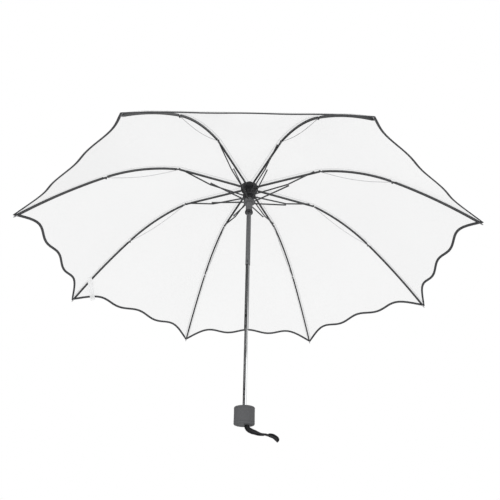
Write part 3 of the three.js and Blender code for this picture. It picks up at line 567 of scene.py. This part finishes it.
@dataclass(frozen=True)
class Ribs:
    """The five jointed bars of each of the eight ribs, and the wire that springs them."""

    finishes: Finishes
    line: RibLine
    crown: float
    height: float = 3.0
    width: float = 3.2
    wall: float = 0.5
    crest: float = 1.3
    blade: float = 1.4
    eye: float = 1.9
    ear: float = 2.1
    cheek: float = 0.6
    cheek_side: float = 1.3
    pin: float = 0.75
    pin_dome: float = 0.45
    link_side: float = 2.7
    link_width: float = 1.7
    link_height: float = 3.3
    tip_length: float = 9.5
    wire: float = 0.45
    wire_sag: float = 8.0

    def build(self) -> None:
        """Builds every rib."""
        for number in range(1, RIBS + 1):
            plane = RibPlane(number, self.crown)
            self._top(plane)
            self._middle(plane)
            self._outer(plane)
            self._link(plane)
            self._stretcher(plane)

    def _done(self, bm: bmesh.types.BMesh, plane: RibPlane, kind: str) -> None:
        """Makes a bar's mesh the piece that stands for its node."""
        node = f"{kind}_{plane.number}"
        materials = [self.finishes.get(Finish.DARK_STEEL), self.finishes.get(Finish.RIVET)]
        piece(bm, f"{node}_bar", materials, node, Finish.DARK_STEEL, plane.matrix, [node])

    @property
    def _section(self) -> list[Pair]:
        """A rib's channel, whose crest reaches up towards the film."""
        return [(x, y + self.crest * (y > 0)) for x, y in channel(self.width, self.height, self.wall)]

    def _eye(self, bm: bmesh.types.BMesh, centre: Sequence[float], side: float = 0.0,
             width: float = 0.0, radius: float = 0.0) -> None:
        """Adds a flat disc round a pin."""
        half = (width or self.blade) / 2
        rivet(bm, centre, radius or self.eye, side - half + 0.1, side + half - 0.1, 0.1)

    def _fork(self, bm: bmesh.types.BMesh, pivot: Vector, points: Sequence[Sequence[float]]) -> None:
        """Adds two cheeks along points, an ear on each, and the bright pin through them."""
        for side in (-self.cheek_side, self.cheek_side):
            bar(bm, rounded(self.cheek, self.height, 0.15, 1), points, side)
            self._eye(bm, pivot, side, self.cheek, self.ear)
        outside = self.cheek_side + self.cheek / 2
        rivet(bm, pivot, self.pin, -outside, outside, self.pin_dome, 1)

    def _top(self, plane: RibPlane) -> None:
        """Builds a top rib: an eye, a channel and a fork."""
        bm = bmesh.new()
        start, height = self.line.top_pivot
        fork = self.line.lever_end.x - 2.5
        self._eye(bm, self.line.top_pivot)
        bar(bm, rounded(self.blade, self.height, 0.3, 1), [(start, height), (start + 10, height)])
        bar(bm, self._section,
            [(start + 12, height), (start + 60, height), (start + 110, height), (fork, height)])
        bar(bm, rounded(self.width + 0.6, self.height + 1.4, 0.6),
            [(start + 4, height), (start + 6, height), (start + 13, height), (start + 15, height)],
            0.0, 0, (0.72, 1.0, 1.0, 0.8))
        cheeks = [(fork - 3, height), (self.line.elbow.x - 6, height), (self.line.elbow.x, height)]
        self._fork(bm, self.line.elbow, cheeks)
        self._done(bm, plane, "top_rib")

    def _middle(self, plane: RibPlane) -> None:
        """Builds a middle rib: a lever, an arched channel and an eye at each end."""
        bm = bmesh.new()
        flat = rounded(self.blade, self.height, 0.3, 1)
        lever = rounded(self.blade, self.height * 0.8, 0.3, 1)
        bar(bm, lever, [self.line.lever_end, self.line.elbow])
        self._eye(bm, self.line.lever_end, radius=self.height * 0.4)
        bar(bm, flat, [self.line.middle(p) for p in (0.0, 0.02, 0.045)])
        bar(bm, self._section, [self.line.middle(0.03 + 0.94 * i / 18) for i in range(19)])
        bar(bm, flat, [self.line.middle(p) for p in (0.955, 0.98, 1.0)])
        self._eye(bm, self.line.elbow)
        self._eye(bm, self.line.knuckle)
        self._done(bm, plane, "middle_rib")
        self._spring(plane)

    def _spring(self, plane: RibPlane) -> None:
        """Builds the bowed wire under a middle rib, with a coil at each end."""
        bm = bmesh.new()
        start, end = self.line.middle(0.035), self.line.middle(0.975)
        start, end = start - Vector((0, 2.3)), end - Vector((1.4, 1.9))
        path = []
        for i in range(17):
            part = i / 16
            sag = self.wire_sag * math.sin(math.pi * part)
            path.append(start.lerp(end, part) - Vector((0, sag)))
        bar(bm, circle(self.wire, 8), path)
        for centre in (start, end):
            turns = [Vector((centre.x + 1.2 * math.cos(a), -0.9 + 0.16 * i,
                             centre.y + 0.9 + 1.2 * math.sin(a)))
                     for i, a in enumerate(math.tau * j / 10 for j in range(12))]
            swept(bm, circle(self.wire * 0.9, 6), frames_along(turns, [Vector((0, 1, 0))]))
        body = f"middle_rib_{plane.number}"
        piece(bm, f"spring_wire_{plane.number}", [self.finishes.get(Finish.WIRE)], body,
              Finish.WIRE, plane.matrix)

    def _outer(self, plane: RibPlane) -> None:
        """Builds an outer rib: a fork, a curved channel and a bright pointed tip."""
        bm = bmesh.new()
        length = self.line.outer_length
        self._fork(bm, self.line.knuckle, [self.line.outer(p) for p in (0.0, 0.02, 0.04)])
        stop = 1 - self.tip_length / length
        steps = 12
        bar(bm, self._section,
            [self.line.outer(0.025 + (stop + 0.004 - 0.025) * i / steps) for i in range(steps + 1)])
        spans = (0.0, 0.03, 0.1, 0.55, 0.86, 0.96, 1.0)
        sizes = (0.7, 1.0, 1.0, 0.8, 0.55, 0.4, 0.15)
        bar(bm, circle(1.55, 14), [self.line.outer(stop + (1 - stop) * s) for s in spans], 0.0, 1, sizes)
        self._done(bm, plane, "outer_rib")

    def _link(self, plane: RibPlane) -> None:
        """Builds a control link: a flat bent bar beside the rib."""
        bm = bmesh.new()
        start, joint, end = (Vector(p) for p in (self.line.link_pivot, self.line.link_joint,
                                                 self.line.lever_end))
        bend = [joint + (start - joint).normalized() * 5, joint, joint + (end - joint).normalized() * 5]
        section = channel(self.link_width, self.link_height, 0.35)
        bar(bm, section, [start, *bend, end], -self.link_side)
        for centre in (start, end):
            self._eye(bm, centre, -self.link_side, self.link_width)
        outside = self.link_side + self.link_width / 2
        rivet(bm, end, self.pin, -outside, -0.75, self.pin_dome, 1)
        self._done(bm, plane, "control_link")

    def _stretcher(self, plane: RibPlane) -> None:
        """Builds a stretcher: a flat bar on the rib's other side, with its pin."""
        bm = bmesh.new()
        start, end = Vector(self.line.runner_pivot), Vector(self.line.link_joint)
        middle = start.lerp(end, 0.5)
        section = channel(self.link_width, self.link_height, 0.35)
        bar(bm, section, [start, middle, end], self.link_side)
        for centre in (start, end):
            self._eye(bm, centre, self.link_side, self.link_width)
        outside = self.link_side + self.link_width / 2
        rivet(bm, end, self.pin, -outside, outside, self.pin_dome, 1)
        self._done(bm, plane, "stretcher")


# ---- canopy -------------------------------------------------------------------------


@dataclass(frozen=True)
class Canopy:
    """The clear film, its welded seams, its bound edge and its closing strap.

    The film is made in sectors, each from one mid-gore line to the next with its rib between,
    and each sector in three bands that fold with the three bars of the rib.
    """

    finishes: Finishes
    line: RibLine
    crown: float
    hole: float = 6.0
    notch: float = 21.0
    crown_height: float = -0.8
    tip_proud: float = 8.0
    hem_depth: float = 23.0
    scallop_depth: float = 10.0
    scallops: int = 3
    weld: float = 4.4
    seam: float = 0.9
    steps: int = 10
    hem_width: float = 5.2
    hem_thickness: float = 1.9
    folded_share: float = 0.05
    strap_rib: int = 4
    strap_width: float = 12.0
    strap_length: float = 62.0
    strap_thickness: float = 0.6
    strap_under: float = 8.1
    strap_start: float = 58.0
    strap_back: float = 12.0
    strap_lean: float = 0.15
    strap_bow: float = 0.9

    def _meridian(self) -> list[Vector]:
        """The film's line over one rib, from the crown to past the rib's tip."""
        over = self.line.top_pivot[1] + self.line.film_lift
        inner = [Vector((self.hole, self.crown_height)), Vector((self.notch, self.crown_height - 0.5)),
                 Vector((self.notch * 1.5, -2.1)), Vector((self.notch * 2.6, over + 1)),
                 Vector((self.line.lever_end.x, over)), Vector((self.line.elbow.x, over))]
        middle = [self.line.middle(i / 16, self.line.film_lift) for i in range(1, 17)]
        outer = [self.line.outer(i / 12, self.line.film_lift) for i in range(1, 13)]
        return inner + middle + outer

    def inset(self, part: float) -> float:
        """How far up the film the hem is, part of the way from one rib to the next."""
        straight = self.hem_depth * (1 - abs(2 * part - 1) ** 6)
        waves = math.cos(math.tau * self.scallops * part)
        return straight + self.scallop_depth * (1 - waves) / 2

    def _distances(self, points: Sequence[Vector]) -> list[float]:
        """The distance from the first point to each."""
        total, found = 0.0, [0.0]
        for a, b in zip(points, points[1:]):
            total += (b - a).length
            found.append(total)
        return found

    def build(self) -> None:
        """Builds the crown disc, eight sectors of three bands, their hem and the strap."""
        points = self._meridian()
        distances = self._distances(points)
        elbow, knuckle = distances[5], distances[21]
        hem = distances[-1] - self.tip_proud

        def at(distance: float) -> Vector:
            """The film's (radius, height) at a distance from the crown hole."""
            i = next((k for k, d in enumerate(distances[1:]) if d >= distance), len(points) - 2)
            span = distances[i + 1] - distances[i]
            return points[i].lerp(points[i + 1], (distance - distances[i]) / span)

        self._disc(at, distances[1])
        for number in range(1, RIBS + 1):
            plane = RibPlane(number, self.crown)
            bands = (("top", distances[1], elbow, 10), ("middle", elbow, knuckle, 12),
                     ("outer", knuckle, hem, 16))
            for kind, start, end, rows in bands:
                self._band(plane, at, kind, start, end, rows)
            self._hem(plane, at, hem)
        self._strap(at, hem)

    def _local(self, at: Callable[[float], Vector], distance: float, part: float) -> Vector:
        """A film point in the rib's plane, part of the way to the rib on either side."""
        return self._aside(at(distance), part)

    def _aside(self, spot: Vector, part: float) -> Vector:
        """A (radius, height) carried part of the way to the next rib, straight across the gore."""
        share, turn = abs(part), math.radians(math.copysign(GORE, part))
        x = spot.x * (1 - share + share * math.cos(turn))
        return Vector((x, spot.x * share * math.sin(turn), spot.y))

    def _column(self, spot: Vector, u: float) -> float:
        """The part of a gore that a column lies at, from the sector's one edge to the other."""
        half = self.steps + 3
        index = round(u * 2 * half) - half
        step = abs(index)
        width = spot.x * math.sin(math.radians(GORE))
        inner, outer = self.weld / width, (self.weld + self.seam) / width
        if step == 0:
            return 0.0
        if step <= 2:
            return math.copysign(inner if step == 1 else outer, index)
        return math.copysign(outer + (0.5 - outer) * (step - 2) / (half - 2), index)

    def _slot_at(self, u: float) -> int:
        """A column's material slot: 0 film, 1 weld beside the rib, 2 the weld's edge."""
        half = self.steps + 3
        step = int(abs(u * 2 * half - half))
        return 1 if step < 1 else 2 if step < 2 else 0

    def _band(self, plane: RibPlane, at: Callable[[float], Vector], kind: str, start: float,
              end: float, rows: int) -> None:
        """Builds one band of a sector's film."""
        bm = bmesh.new()

        def place(u: float, v: float) -> Vector:
            """A point of the band."""
            middle = start + (end - start) * v
            part = self._column(at(middle), u)
            last = end - self.inset(abs(part)) if kind == "outer" else end
            return self._local(at, start + (last - start) * v, part)

        widest = 2 * at(end).x * math.sin(math.radians(GORE / 2)) * MM
        length = (end - start) * MM
        mapped_grid(bm, 2 * (self.steps + 3), rows, place, (widest, length), self._slot_at)
        area = sum(f.calc_area() for f in bm.faces) * MM * MM
        names = (Finish.FILM, Finish.WELD, Finish.SEAM)
        nodes = ["canopy"] if kind == "top" and plane.number == 1 else []
        body = f"{kind}_rib_{plane.number}"
        film = piece(bm, f"film_{kind}_{plane.number}", [self.finishes.get(n) for n in names],
                     body, Finish.FILM, plane.matrix, nodes, closed=False)
        self._fold(film, plane)

    def _fold(self, made: bpy.types.Object, plane: RibPlane) -> None:
        """Gives a piece its own copy of its mesh."""
        tuple(plane.across)
        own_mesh(made)

    def _disc(self, at: Callable[[float], Vector], end: float) -> None:
        """Builds the film over the notch."""
        bm = bmesh.new()

        def place(u: float, v: float) -> Vector:
            """A point of the disc, straight from one rib's plane to the next."""
            spot = at(end * v)
            turn = u * RIBS
            corner, part = math.floor(turn + 1e-6), turn - math.floor(turn + 1e-6)
            a, b = (math.radians(GORE / 2 + GORE * c) for c in (corner, corner + 1))
            return Vector((spot.x * (math.cos(a) * (1 - part) + math.cos(b) * part),
                           spot.x * (math.sin(a) * (1 - part) + math.sin(b) * part), spot.y))

        mapped_grid(bm, 48, 3, place, (0.12, 0.015))
        area = sum(f.calc_area() for f in bm.faces) * MM * MM
        matrix = Matrix.Translation((0, 0, self.crown)) @ Matrix.Scale(MM, 4)
        film = piece(bm, "film_crown", [self.finishes.get(Finish.FILM)], "top_tube", Finish.FILM,
                     matrix, closed=False)

    def _hem(self, plane: RibPlane, at: Callable[[float], Vector], hem: float) -> None:
        """Builds a sector's share of the tape that binds the hem."""
        bm = bmesh.new()
        count = 2 * self.steps + 16
        path, sides = [], []
        for i in range(count + 1):
            part = -0.5 + i / count
            distance = hem - self.inset(abs(part)) + self.hem_width / 2
            here = self._local(at, distance, part)
            up = self._local(at, distance - 4, part)
            along = self._local(at, hem - self.inset(abs(part) - 0.01) + 2, part + 0.01) - here
            path.append(here)
            normal = (up - here).cross(along)
            sides.append(normal if normal.z > 0 else -normal)
        section = rounded(self.hem_width, self.hem_thickness, 0.7, 3)
        swept(bm, section, frames_along(path, sides))
        nodes = ["hem_binding"] if plane.number == 1 else []
        tape = piece(bm, f"hem_tape_{plane.number}", [self.finishes.get(Finish.BINDING)],
                     f"outer_rib_{plane.number}", Finish.BINDING, plane.matrix, nodes)
        self._fold(tape, plane)

    def _strap(self, at: Callable[[float], Vector], hem: float) -> None:
        """Builds the closing strap under its rib, with the soft fastener at its end."""
        plane = RibPlane(self.strap_rib, self.crown)
        under = -self.strap_under
        upper = self._under(at, hem - self.strap_start, 0.0, under)
        beside = self._under(at, hem, 0.0, under)
        aside = self._under(at, hem, -1.0, under)
        along = (beside.lerp(aside, self.strap_lean) - upper).normalized()
        side = aside - upper
        side = (side - along * side.dot(along)).normalized()
        normal = along.cross(side)
        path = []
        for i in range(13):
            reach = self.strap_length * i / 12 - self.strap_back
            bow = self.strap_bow * math.sin(math.pi * i / 12)
            path.append(upper + along * reach + normal * bow)
        bm = bmesh.new()
        scales = [0.9] + [1.0] * 11 + [0.9]
        band = rounded(self.strap_width, self.strap_thickness, 0.25, 2)
        swept(bm, band, frames_along(path, [normal]), 0, scales)
        patch = [p - normal * 0.55 for p in path[9:12]]
        swept(bm, rounded(8.5, 0.5, 0.2, 2), frames_along(patch, [normal]), 1)
        materials = [self.finishes.get(Finish.STRAP), self.finishes.get(Finish.SEAM)]
        strap = piece(bm, "closing_strap", materials, "outer_rib_4", Finish.STRAP, plane.matrix,
                      ["closure_strap"])

    def _under(self, at: Callable[[float], Vector], distance: float, part: float, off: float) -> Vector:
        """A film point moved square to the film over the rib that it is nearest to."""
        ahead, back, here = at(distance + 4), at(distance - 4), at(distance)
        along = (ahead - back).normalized()
        return self._aside(Vector((here.x - along.y * off, here.y + along.x * off)), part)


# ---- shaft, hub and grip ---------------------------------------------------------------


@dataclass(frozen=True)
class Shaft:
    """The hard pieces that keep the frame's own shape, with their edges broken."""

    finishes: Finishes

    def build(self) -> None:
        """Dresses the tubes, the hub, the runner and the catches."""
        dressed = (
            ("shaft_inner_tube", "grip", Finish.BRIGHT_STEEL, 0.08),
            ("shaft_middle_tube", "middle_tube", Finish.GREY_STEEL, 0.08),
            ("shaft_outer_tube", "top_tube", Finish.SHAFT, 0.08),
            ("lower_tube_button", "lower_button", Finish.BUTTON, 0.2),
            ("upper_tube_button", "upper_button", Finish.BUTTON, 0.2),
            ("runner_catch", "runner_catch", Finish.BUTTON, 0.2),
            ("top_notch", "top_tube", Finish.MOULDING, 0.25),
            ("runner", "runner", Finish.RUNNER, 0.25),
        )
        for node, body, finish, edge in dressed:
            self._dress(node, body, finish, edge)

    def _dress(self, node: str, body: str, finish: Finish, edge: float) -> None:
        """Makes a piece from a copy of a node, with its sharp edges rounded."""
        bm = bmesh.new()
        bm.from_mesh(bpy.data.objects[node].data)
        bmesh.ops.scale(bm, vec=(1 / MM,) * 3, verts=bm.verts)
        bmesh.ops.remove_doubles(bm, verts=bm.verts, dist=0.002)
        bmesh.ops.dissolve_limit(bm, angle_limit=math.radians(1.5), verts=bm.verts, edges=bm.edges)
        sharp = [e for e in bm.edges if len(e.link_faces) == 2 and e.calc_face_angle(0) > 0.7]
        bmesh.ops.bevel(bm, geom=sharp, offset=edge, offset_type="OFFSET", segments=2, profile=0.5,
                        affect="EDGES", material=-1, clamp_overlap=True)
        slot = {Finish.SHAFT: Finish.DARK_STEEL, Finish.RUNNER: Finish.MOULDING}.get(finish, finish)
        piece(bm, f"{node}_piece", [self.finishes.get(finish)], body, slot,
              Matrix.Scale(MM, 4), [node])


@dataclass(frozen=True)
class Hub:
    """The turned pieces at the crown and on the runner."""

    finishes: Finishes
    crown: float
    cap_radius: float = 11.0
    cap_top: float = 10.0
    cap_flat: float = 5.0
    stem: float = 4.3
    socket: float = 3.8
    collar_radius: float = 9.4
    barrel: float = 8.1
    runner_bottom: float = -82.0
    collar_height: float = 6.0

    def build(self) -> None:
        """Builds the crown cap and the runner's collar."""
        matrix = Matrix.Translation((0, 0, self.crown)) @ Matrix.Scale(MM, 4)
        cap = bmesh.new()
        r, top, flat = self.cap_radius, self.cap_top, self.cap_flat
        outline = fillet([(self.stem, 0.5), (r, 0.5), (r, 2.2), (r * 0.96, 3.6), (r * 0.86, 6.2),
                          (flat + 1.6, top - 0.5), (flat, top)], 0.8)
        spun(cap, [*outline, (0, top), (0, self.socket), (self.stem, self.socket)])
        moulding = [self.finishes.get(Finish.MOULDING)]
        piece(cap, "crown_cap", moulding, "top_tube", Finish.MOULDING, matrix, ["notch_cap"])
        collar = bmesh.new()
        low, high = self.runner_bottom, self.runner_bottom + self.collar_height
        outer = self.collar_radius
        ridge = [(outer, low + 0.9), (outer, low + 2.2), (outer - 0.45, low + 2.6),
                 (outer - 0.45, high - 2.6), (outer, high - 2.2), (outer, high - 0.9)]
        spun(collar, fillet([(self.barrel, low), (outer - 0.5, low), *ridge, (outer - 0.5, high),
                             (self.barrel, high)], 0.35))
        piece(collar, "runner_ring", moulding, "runner", Finish.MOULDING, matrix, ["runner_collar"])


@dataclass(frozen=True)
class Grip:
    """The short round grip and its end cap."""

    finishes: Finishes
    radius: float = 19.8
    height: float = 32.6
    wall: float = 4.8
    hole: float = 4.1
    corner: float = 2.0
    groove: float = 0.5
    slot_place: float = 5.0
    slot_across: float = 5.2
    slot_wide: float = 4.3
    cap_height: float = 2.2

    def build(self) -> None:
        """Builds the shell and the end cap."""
        self._shell()
        self._cap()

    def _shell(self) -> None:
        """Builds the shell: a cup with a fine groove near each end and round rims."""
        top, low = self.height / 2, -self.height / 2
        bore, r = self.radius - self.wall, self.radius
        deep = r - self.groove
        rim = [(r, low + 3.4), (deep, low + 3.8), (deep, low + 4.5), (r, low + 4.9)]
        upper = [(x, -z) for x, z in reversed(rim)]
        body = [(r - 0.15, low + 9), (r - 0.2, 0.0), (r - 0.15, top - 9)]
        outline = [(self.hole, top - self.wall), (bore, top - self.wall), (bore, low),
                   (r - self.corner, low), (r - self.corner * 0.3, low + self.corner * 0.3),
                   (r, low + self.corner), *rim, *body, *upper, (r, top - self.corner),
                   (r - self.corner * 0.3, top - self.corner * 0.3), (r - self.corner, top),
                   (self.hole + 2.2, top), (self.hole + 1.6, top - 0.5), (self.hole, top - 0.5)]
        bm = bmesh.new()
        spun(bm, fillet(outline, 0.5, 3), 96)
        piece(bm, "grip_sleeve", [self.finishes.get(Finish.GRIP)], "grip", Finish.GRIP,
              Matrix.Scale(MM, 4), ["grip_shell"])

    def _cap(self) -> None:
        """Builds the end cap, with a slot for the wrist strap and a shallow dish."""
        low = -self.height / 2
        outer = self.radius - self.wall - 0.3
        high = low + self.cap_height
        bm = bmesh.new()
        count = 64

        def place(u: float, v: float) -> Vector:
            """A point of the cap's skin, from the slot's upper edge round to its lower one."""
            turn = math.tau * u
            c, t = math.cos(turn), math.sin(turn)
            x = self.slot_place + self.slot_across * math.copysign(math.sqrt(abs(c)), c)
            y = self.slot_wide * math.copysign(math.sqrt(abs(t)), t)
            rim = Vector((outer * math.cos(turn), outer * math.sin(turn), 0))
            inner = Vector((x, y, 0))
            share, height = self._skin(v, low, high)
            return inner.lerp(rim, share) + Vector((0, 0, height))

        mapped_grid(bm, count, 8, place)
        bmesh.ops.remove_doubles(bm, verts=bm.verts, dist=0.0001)
        wall = [e for e in bm.edges if e.is_boundary]
        bmesh.ops.bridge_loops(bm, edges=wall)
        piece(bm, "end_cap_disc", [self.finishes.get(Finish.GRIP)], "grip", Finish.GRIP,
              Matrix.Scale(MM, 4), ["grip_end_cap"])

    def _skin(self, v: float, low: float, high: float) -> Pair:
        """How far out from the slot, and how high, a row of the cap's skin is."""
        rows = ((0.0, high), (1.0, high), (1.0, low + 0.4), (0.97, low), (0.8, low),
                (0.76, low + 0.3), (0.35, low + 0.35), (0.06, low + 0.3), (0.0, low + 0.1))
        return rows[round(v * 8)]


@dataclass(frozen=True)
class WristStrap:
    """The flat ribbon loop under the grip, whose two runs turn over together."""

    finishes: Finishes
    width: float = 8.0
    thickness: float = 1.0
    grip_bottom: float = -16.3
    route: tuple[Pair, ...] = (
        (6.9, 3), (6.9, -2.2), (7.6, -4.2), (10.2, -6.8), (14.7, -9.1), (19.1, -10.9), (26, -12.9),
        (30.9, -14.8), (36.8, -15.5), (42.9, -15.7), (49, -15.4), (55.4, -17.5), (61.2, -21.9),
        (63, -26.2), (62.4, -28), (60.6, -28), (59.2, -24.5), (53.8, -20.5), (48.2, -18.8),
        (42.7, -17.3), (36.8, -16.9), (30.7, -16.8), (25, -16.3), (18.1, -13.9), (13.3, -12.1),
        (8.4, -9.6), (4.8, -6.2), (3.1, -2.2), (3.1, 3))
    lean: tuple[Pair, ...] = (
        (0, 0), (4, 30), (8, 50), (14, 58), (21, 56), (29, 36), (34, 31), (43, 31), (49, -6),
        (60, -20), (68, -30), (73.3, 0))

    def _path(self) -> list[Vector]:
        """The ribbon's middle line, as a smooth curve through the route's points."""
        points = [Vector((x, 0, z + self.grip_bottom)) for x, z in self.route]
        found = []
        for i in range(len(points) - 1):
            a, b = points[max(i - 1, 0)], points[i]
            c, d = points[i + 1], points[min(i + 2, len(points) - 1)]
            for step in range(5):
                t = step / 5
                found.append(0.5 * ((2 * b) + (c - a) * t + (2 * a - 5 * b + 4 * c - d) * t ** 2
                                    + (3 * b - a - 3 * c + d) * t ** 3))
        return [*found, points[-1]]

    def _lean_at(self, distance: float) -> float:
        """How far the ribbon is turned about its own line, in radians, that far from the grip."""
        for (a, start), (b, end) in zip(self.lean, self.lean[1:]):
            if distance <= b:
                part = max(distance - a, 0) / (b - a)
                return math.radians(start + (end - start) * (3 - 2 * part) * part * part)
        return math.radians(self.lean[-1][1])

    def build(self) -> None:
        path = self._path()
        run = [0.0]
        for a, b in zip(path, path[1:]):
            run.append(run[-1] + (b - a).length)
        sides = []
        for i, point in enumerate(path):
            along = (path[min(i + 1, len(path) - 1)] - path[max(i - 1, 0)]).normalized()
            back = run[i] > run[-1] / 2
            lean = self._lean_at(run[-1] - run[i] if back else run[i]) * (-1 if back else 1)
            level = Vector((0, 1, 0))
            width = level * math.cos(lean) + along.cross(level) * math.sin(lean)
            sides.append(along.cross(width))
        bm = bmesh.new()
        swept(bm, rounded(self.width, self.thickness, 0.35, 2), frames_along(path, sides))
        strap = piece(bm, "wrist_ribbon", [self.finishes.get(Finish.RIBBON)], "grip", Finish.RIBBON,
                      Matrix.Scale(MM, 4), ["wrist_strap"], crease=50)


# ---- stage ------------------------------------------------------------------------------


@dataclass(frozen=True)
class Stage:
    """The camera, the lights, the pale room and its floor."""

    azimuth: float = 0.41
    elevation: float = -31.4956
    roll: float = 1.162
    distance: float = 1.09617
    shift_right: float = 0.00522
    shift_up: float = 0.04156
    target: tuple[float, float, float] = (0.0, 0.0, 0.315)
    lens: float = 35.924
    floor: float = -0.85
    flag_from: float = 95.0
    flag_to: float = 285.0
    flag_radius: float = 2.2

    def build(self) -> None:
        """Builds the whole stage."""
        scene = bpy.context.scene
        scene.view_settings.view_transform = "Standard"
        scene.camera = self._camera()
        self._world(scene)
        self._floor()
        self._flag()
        self._light("key", (-1.6, -1.9, 0.9), 1.6, 26.0)
        self._light("fill", (1.9, -1.2, 0.2), 1.8, 12.0)
        self._light("under", (-0.4, -1.0, -0.75), 1.2, 7.0)

    def _camera(self) -> bpy.types.Object:
        """Makes the camera that looks up at the open canopy."""
        a, e, roll = (math.radians(v) for v in (self.azimuth, self.elevation, self.roll))
        back = Vector((math.sin(a) * math.cos(e), -math.cos(a) * math.cos(e), math.sin(e)))
        right = (-back).cross(UP).normalized()
        up = right.cross(-back)
        turned_right = right * math.cos(roll) + up * math.sin(roll)
        turned_up = up * math.cos(roll) - right * math.sin(roll)
        place = (Vector(self.target) + back * self.distance + turned_right * self.shift_right
                 + turned_up * self.shift_up)
        camera = bpy.data.cameras.new("camera")
        camera.lens, camera.sensor_width, camera.clip_start = self.lens, 36.0, 0.01
        made = bpy.data.objects.new("camera", camera)
        axes = Matrix((turned_right, turned_up, back)).transposed().to_4x4()
        made.matrix_world = Matrix.Translation(place) @ axes
        bpy.context.collection.objects.link(made)
        return made

    def _world(self, scene: bpy.types.Scene) -> None:
        """Makes the room an even white."""
        world = bpy.data.worlds.new("room")
        world.use_nodes = True
        shade = world.node_tree.nodes["Background"]
        shade.inputs["Color"].default_value = (1.0, 1.0, 1.0, 1.0)
        shade.inputs["Strength"].default_value = 1.0
        scene.world = world

    def _floor(self) -> None:
        """Makes the pale floor."""
        bm = bmesh.new()
        bmesh.ops.create_grid(bm, x_segments=2, y_segments=2, size=4.0)
        bmesh.ops.translate(bm, vec=(0, 0, self.floor), verts=bm.verts)
        self._prop(bm, "floor", "floor_paint", (0.86, 0.86, 0.86), 0.9)

    def _prop(self, bm: bmesh.types.BMesh, name: str, paint_name: str,
              colour: tuple[float, float, float], roughness: float) -> bpy.types.Object:
        """Makes a plain painted object of the stage from a mesh, which is freed."""
        mesh = bpy.data.meshes.new(name)
        bm.to_mesh(mesh)
        bm.free()
        paint = bpy.data.materials.new(paint_name)
        paint.use_nodes = True
        shader = paint.node_tree.nodes["Principled BSDF"]
        shader.inputs["Base Color"].default_value = (*colour, 1.0)
        shader.inputs["Roughness"].default_value = roughness
        mesh.materials.append(paint)
        made = bpy.data.objects.new(name, mesh)
        bpy.context.collection.objects.link(made)
        return made

    def _flag(self) -> None:
        """Makes a dark curved flag on the left, which only gloss sees and which shapes bright metal."""
        bm = bmesh.new()
        first, last = math.radians(self.flag_from), math.radians(self.flag_to)

        def place(u: float, v: float) -> Vector:
            """A point of the flag."""
            turn = first + (last - first) * u
            radius = self.flag_radius
            return Vector((radius * math.cos(turn), radius * math.sin(turn), -0.8 + 4.4 * v))

        mapped_grid(bm, 24, 2, place)
        made = self._prop(bm, "flag", "flag_cloth", (0.05, 0.05, 0.052), 1.0)
        made.visible_camera = False
        made.visible_diffuse = False
        made.visible_shadow = False
        made.visible_transmission = False

    def _light(self, name: str, place: tuple[float, float, float], size: float, power: float) -> None:
        """Adds a soft square light that faces the canopy."""
        light = bpy.data.lights.new(name, "AREA")
        light.shape, light.size, light.energy = "SQUARE", size, power
        made = bpy.data.objects.new(name, light)
        aim = Vector(self.target) - Vector(place)
        made.matrix_world = Matrix.Translation(place) @ aim.to_track_quat("-Z", "Y").to_matrix().to_4x4()
        bpy.context.collection.objects.link(made)


# ---- assembly ---------------------------------------------------------------------------


def dress_nodes(finishes: Finishes) -> None:
    """Gives the frame's own pieces that still show their finish."""
    kept = {
        "notch_rib_wire": Finish.WIRE, "notch_link_wire": Finish.WIRE, "runner_wire": Finish.WIRE,
        "grip_core": Finish.MOULDING,
    }
    for node, finish in kept.items():
        for slot in bpy.data.objects[node].material_slots:
            slot.material = finishes.get(finish)


def main() -> None:
    """Builds the umbrella around its frame."""
    logging.basicConfig(level=logging.INFO, format="%(name)s: %(message)s")
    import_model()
    line = RibLine()
    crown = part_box("top_notch")[1][2] - 3.5 * MM
    finishes = Finishes()
    Stage().build()
    WristStrap(finishes).build()
    Grip(finishes).build()
    Shaft(finishes).build()
    Hub(finishes, crown).build()
    Ribs(finishes, line, crown).build()
    Canopy(finishes, line, crown).build()
    dress_nodes(finishes)


if __name__ == "__main__":
    main()
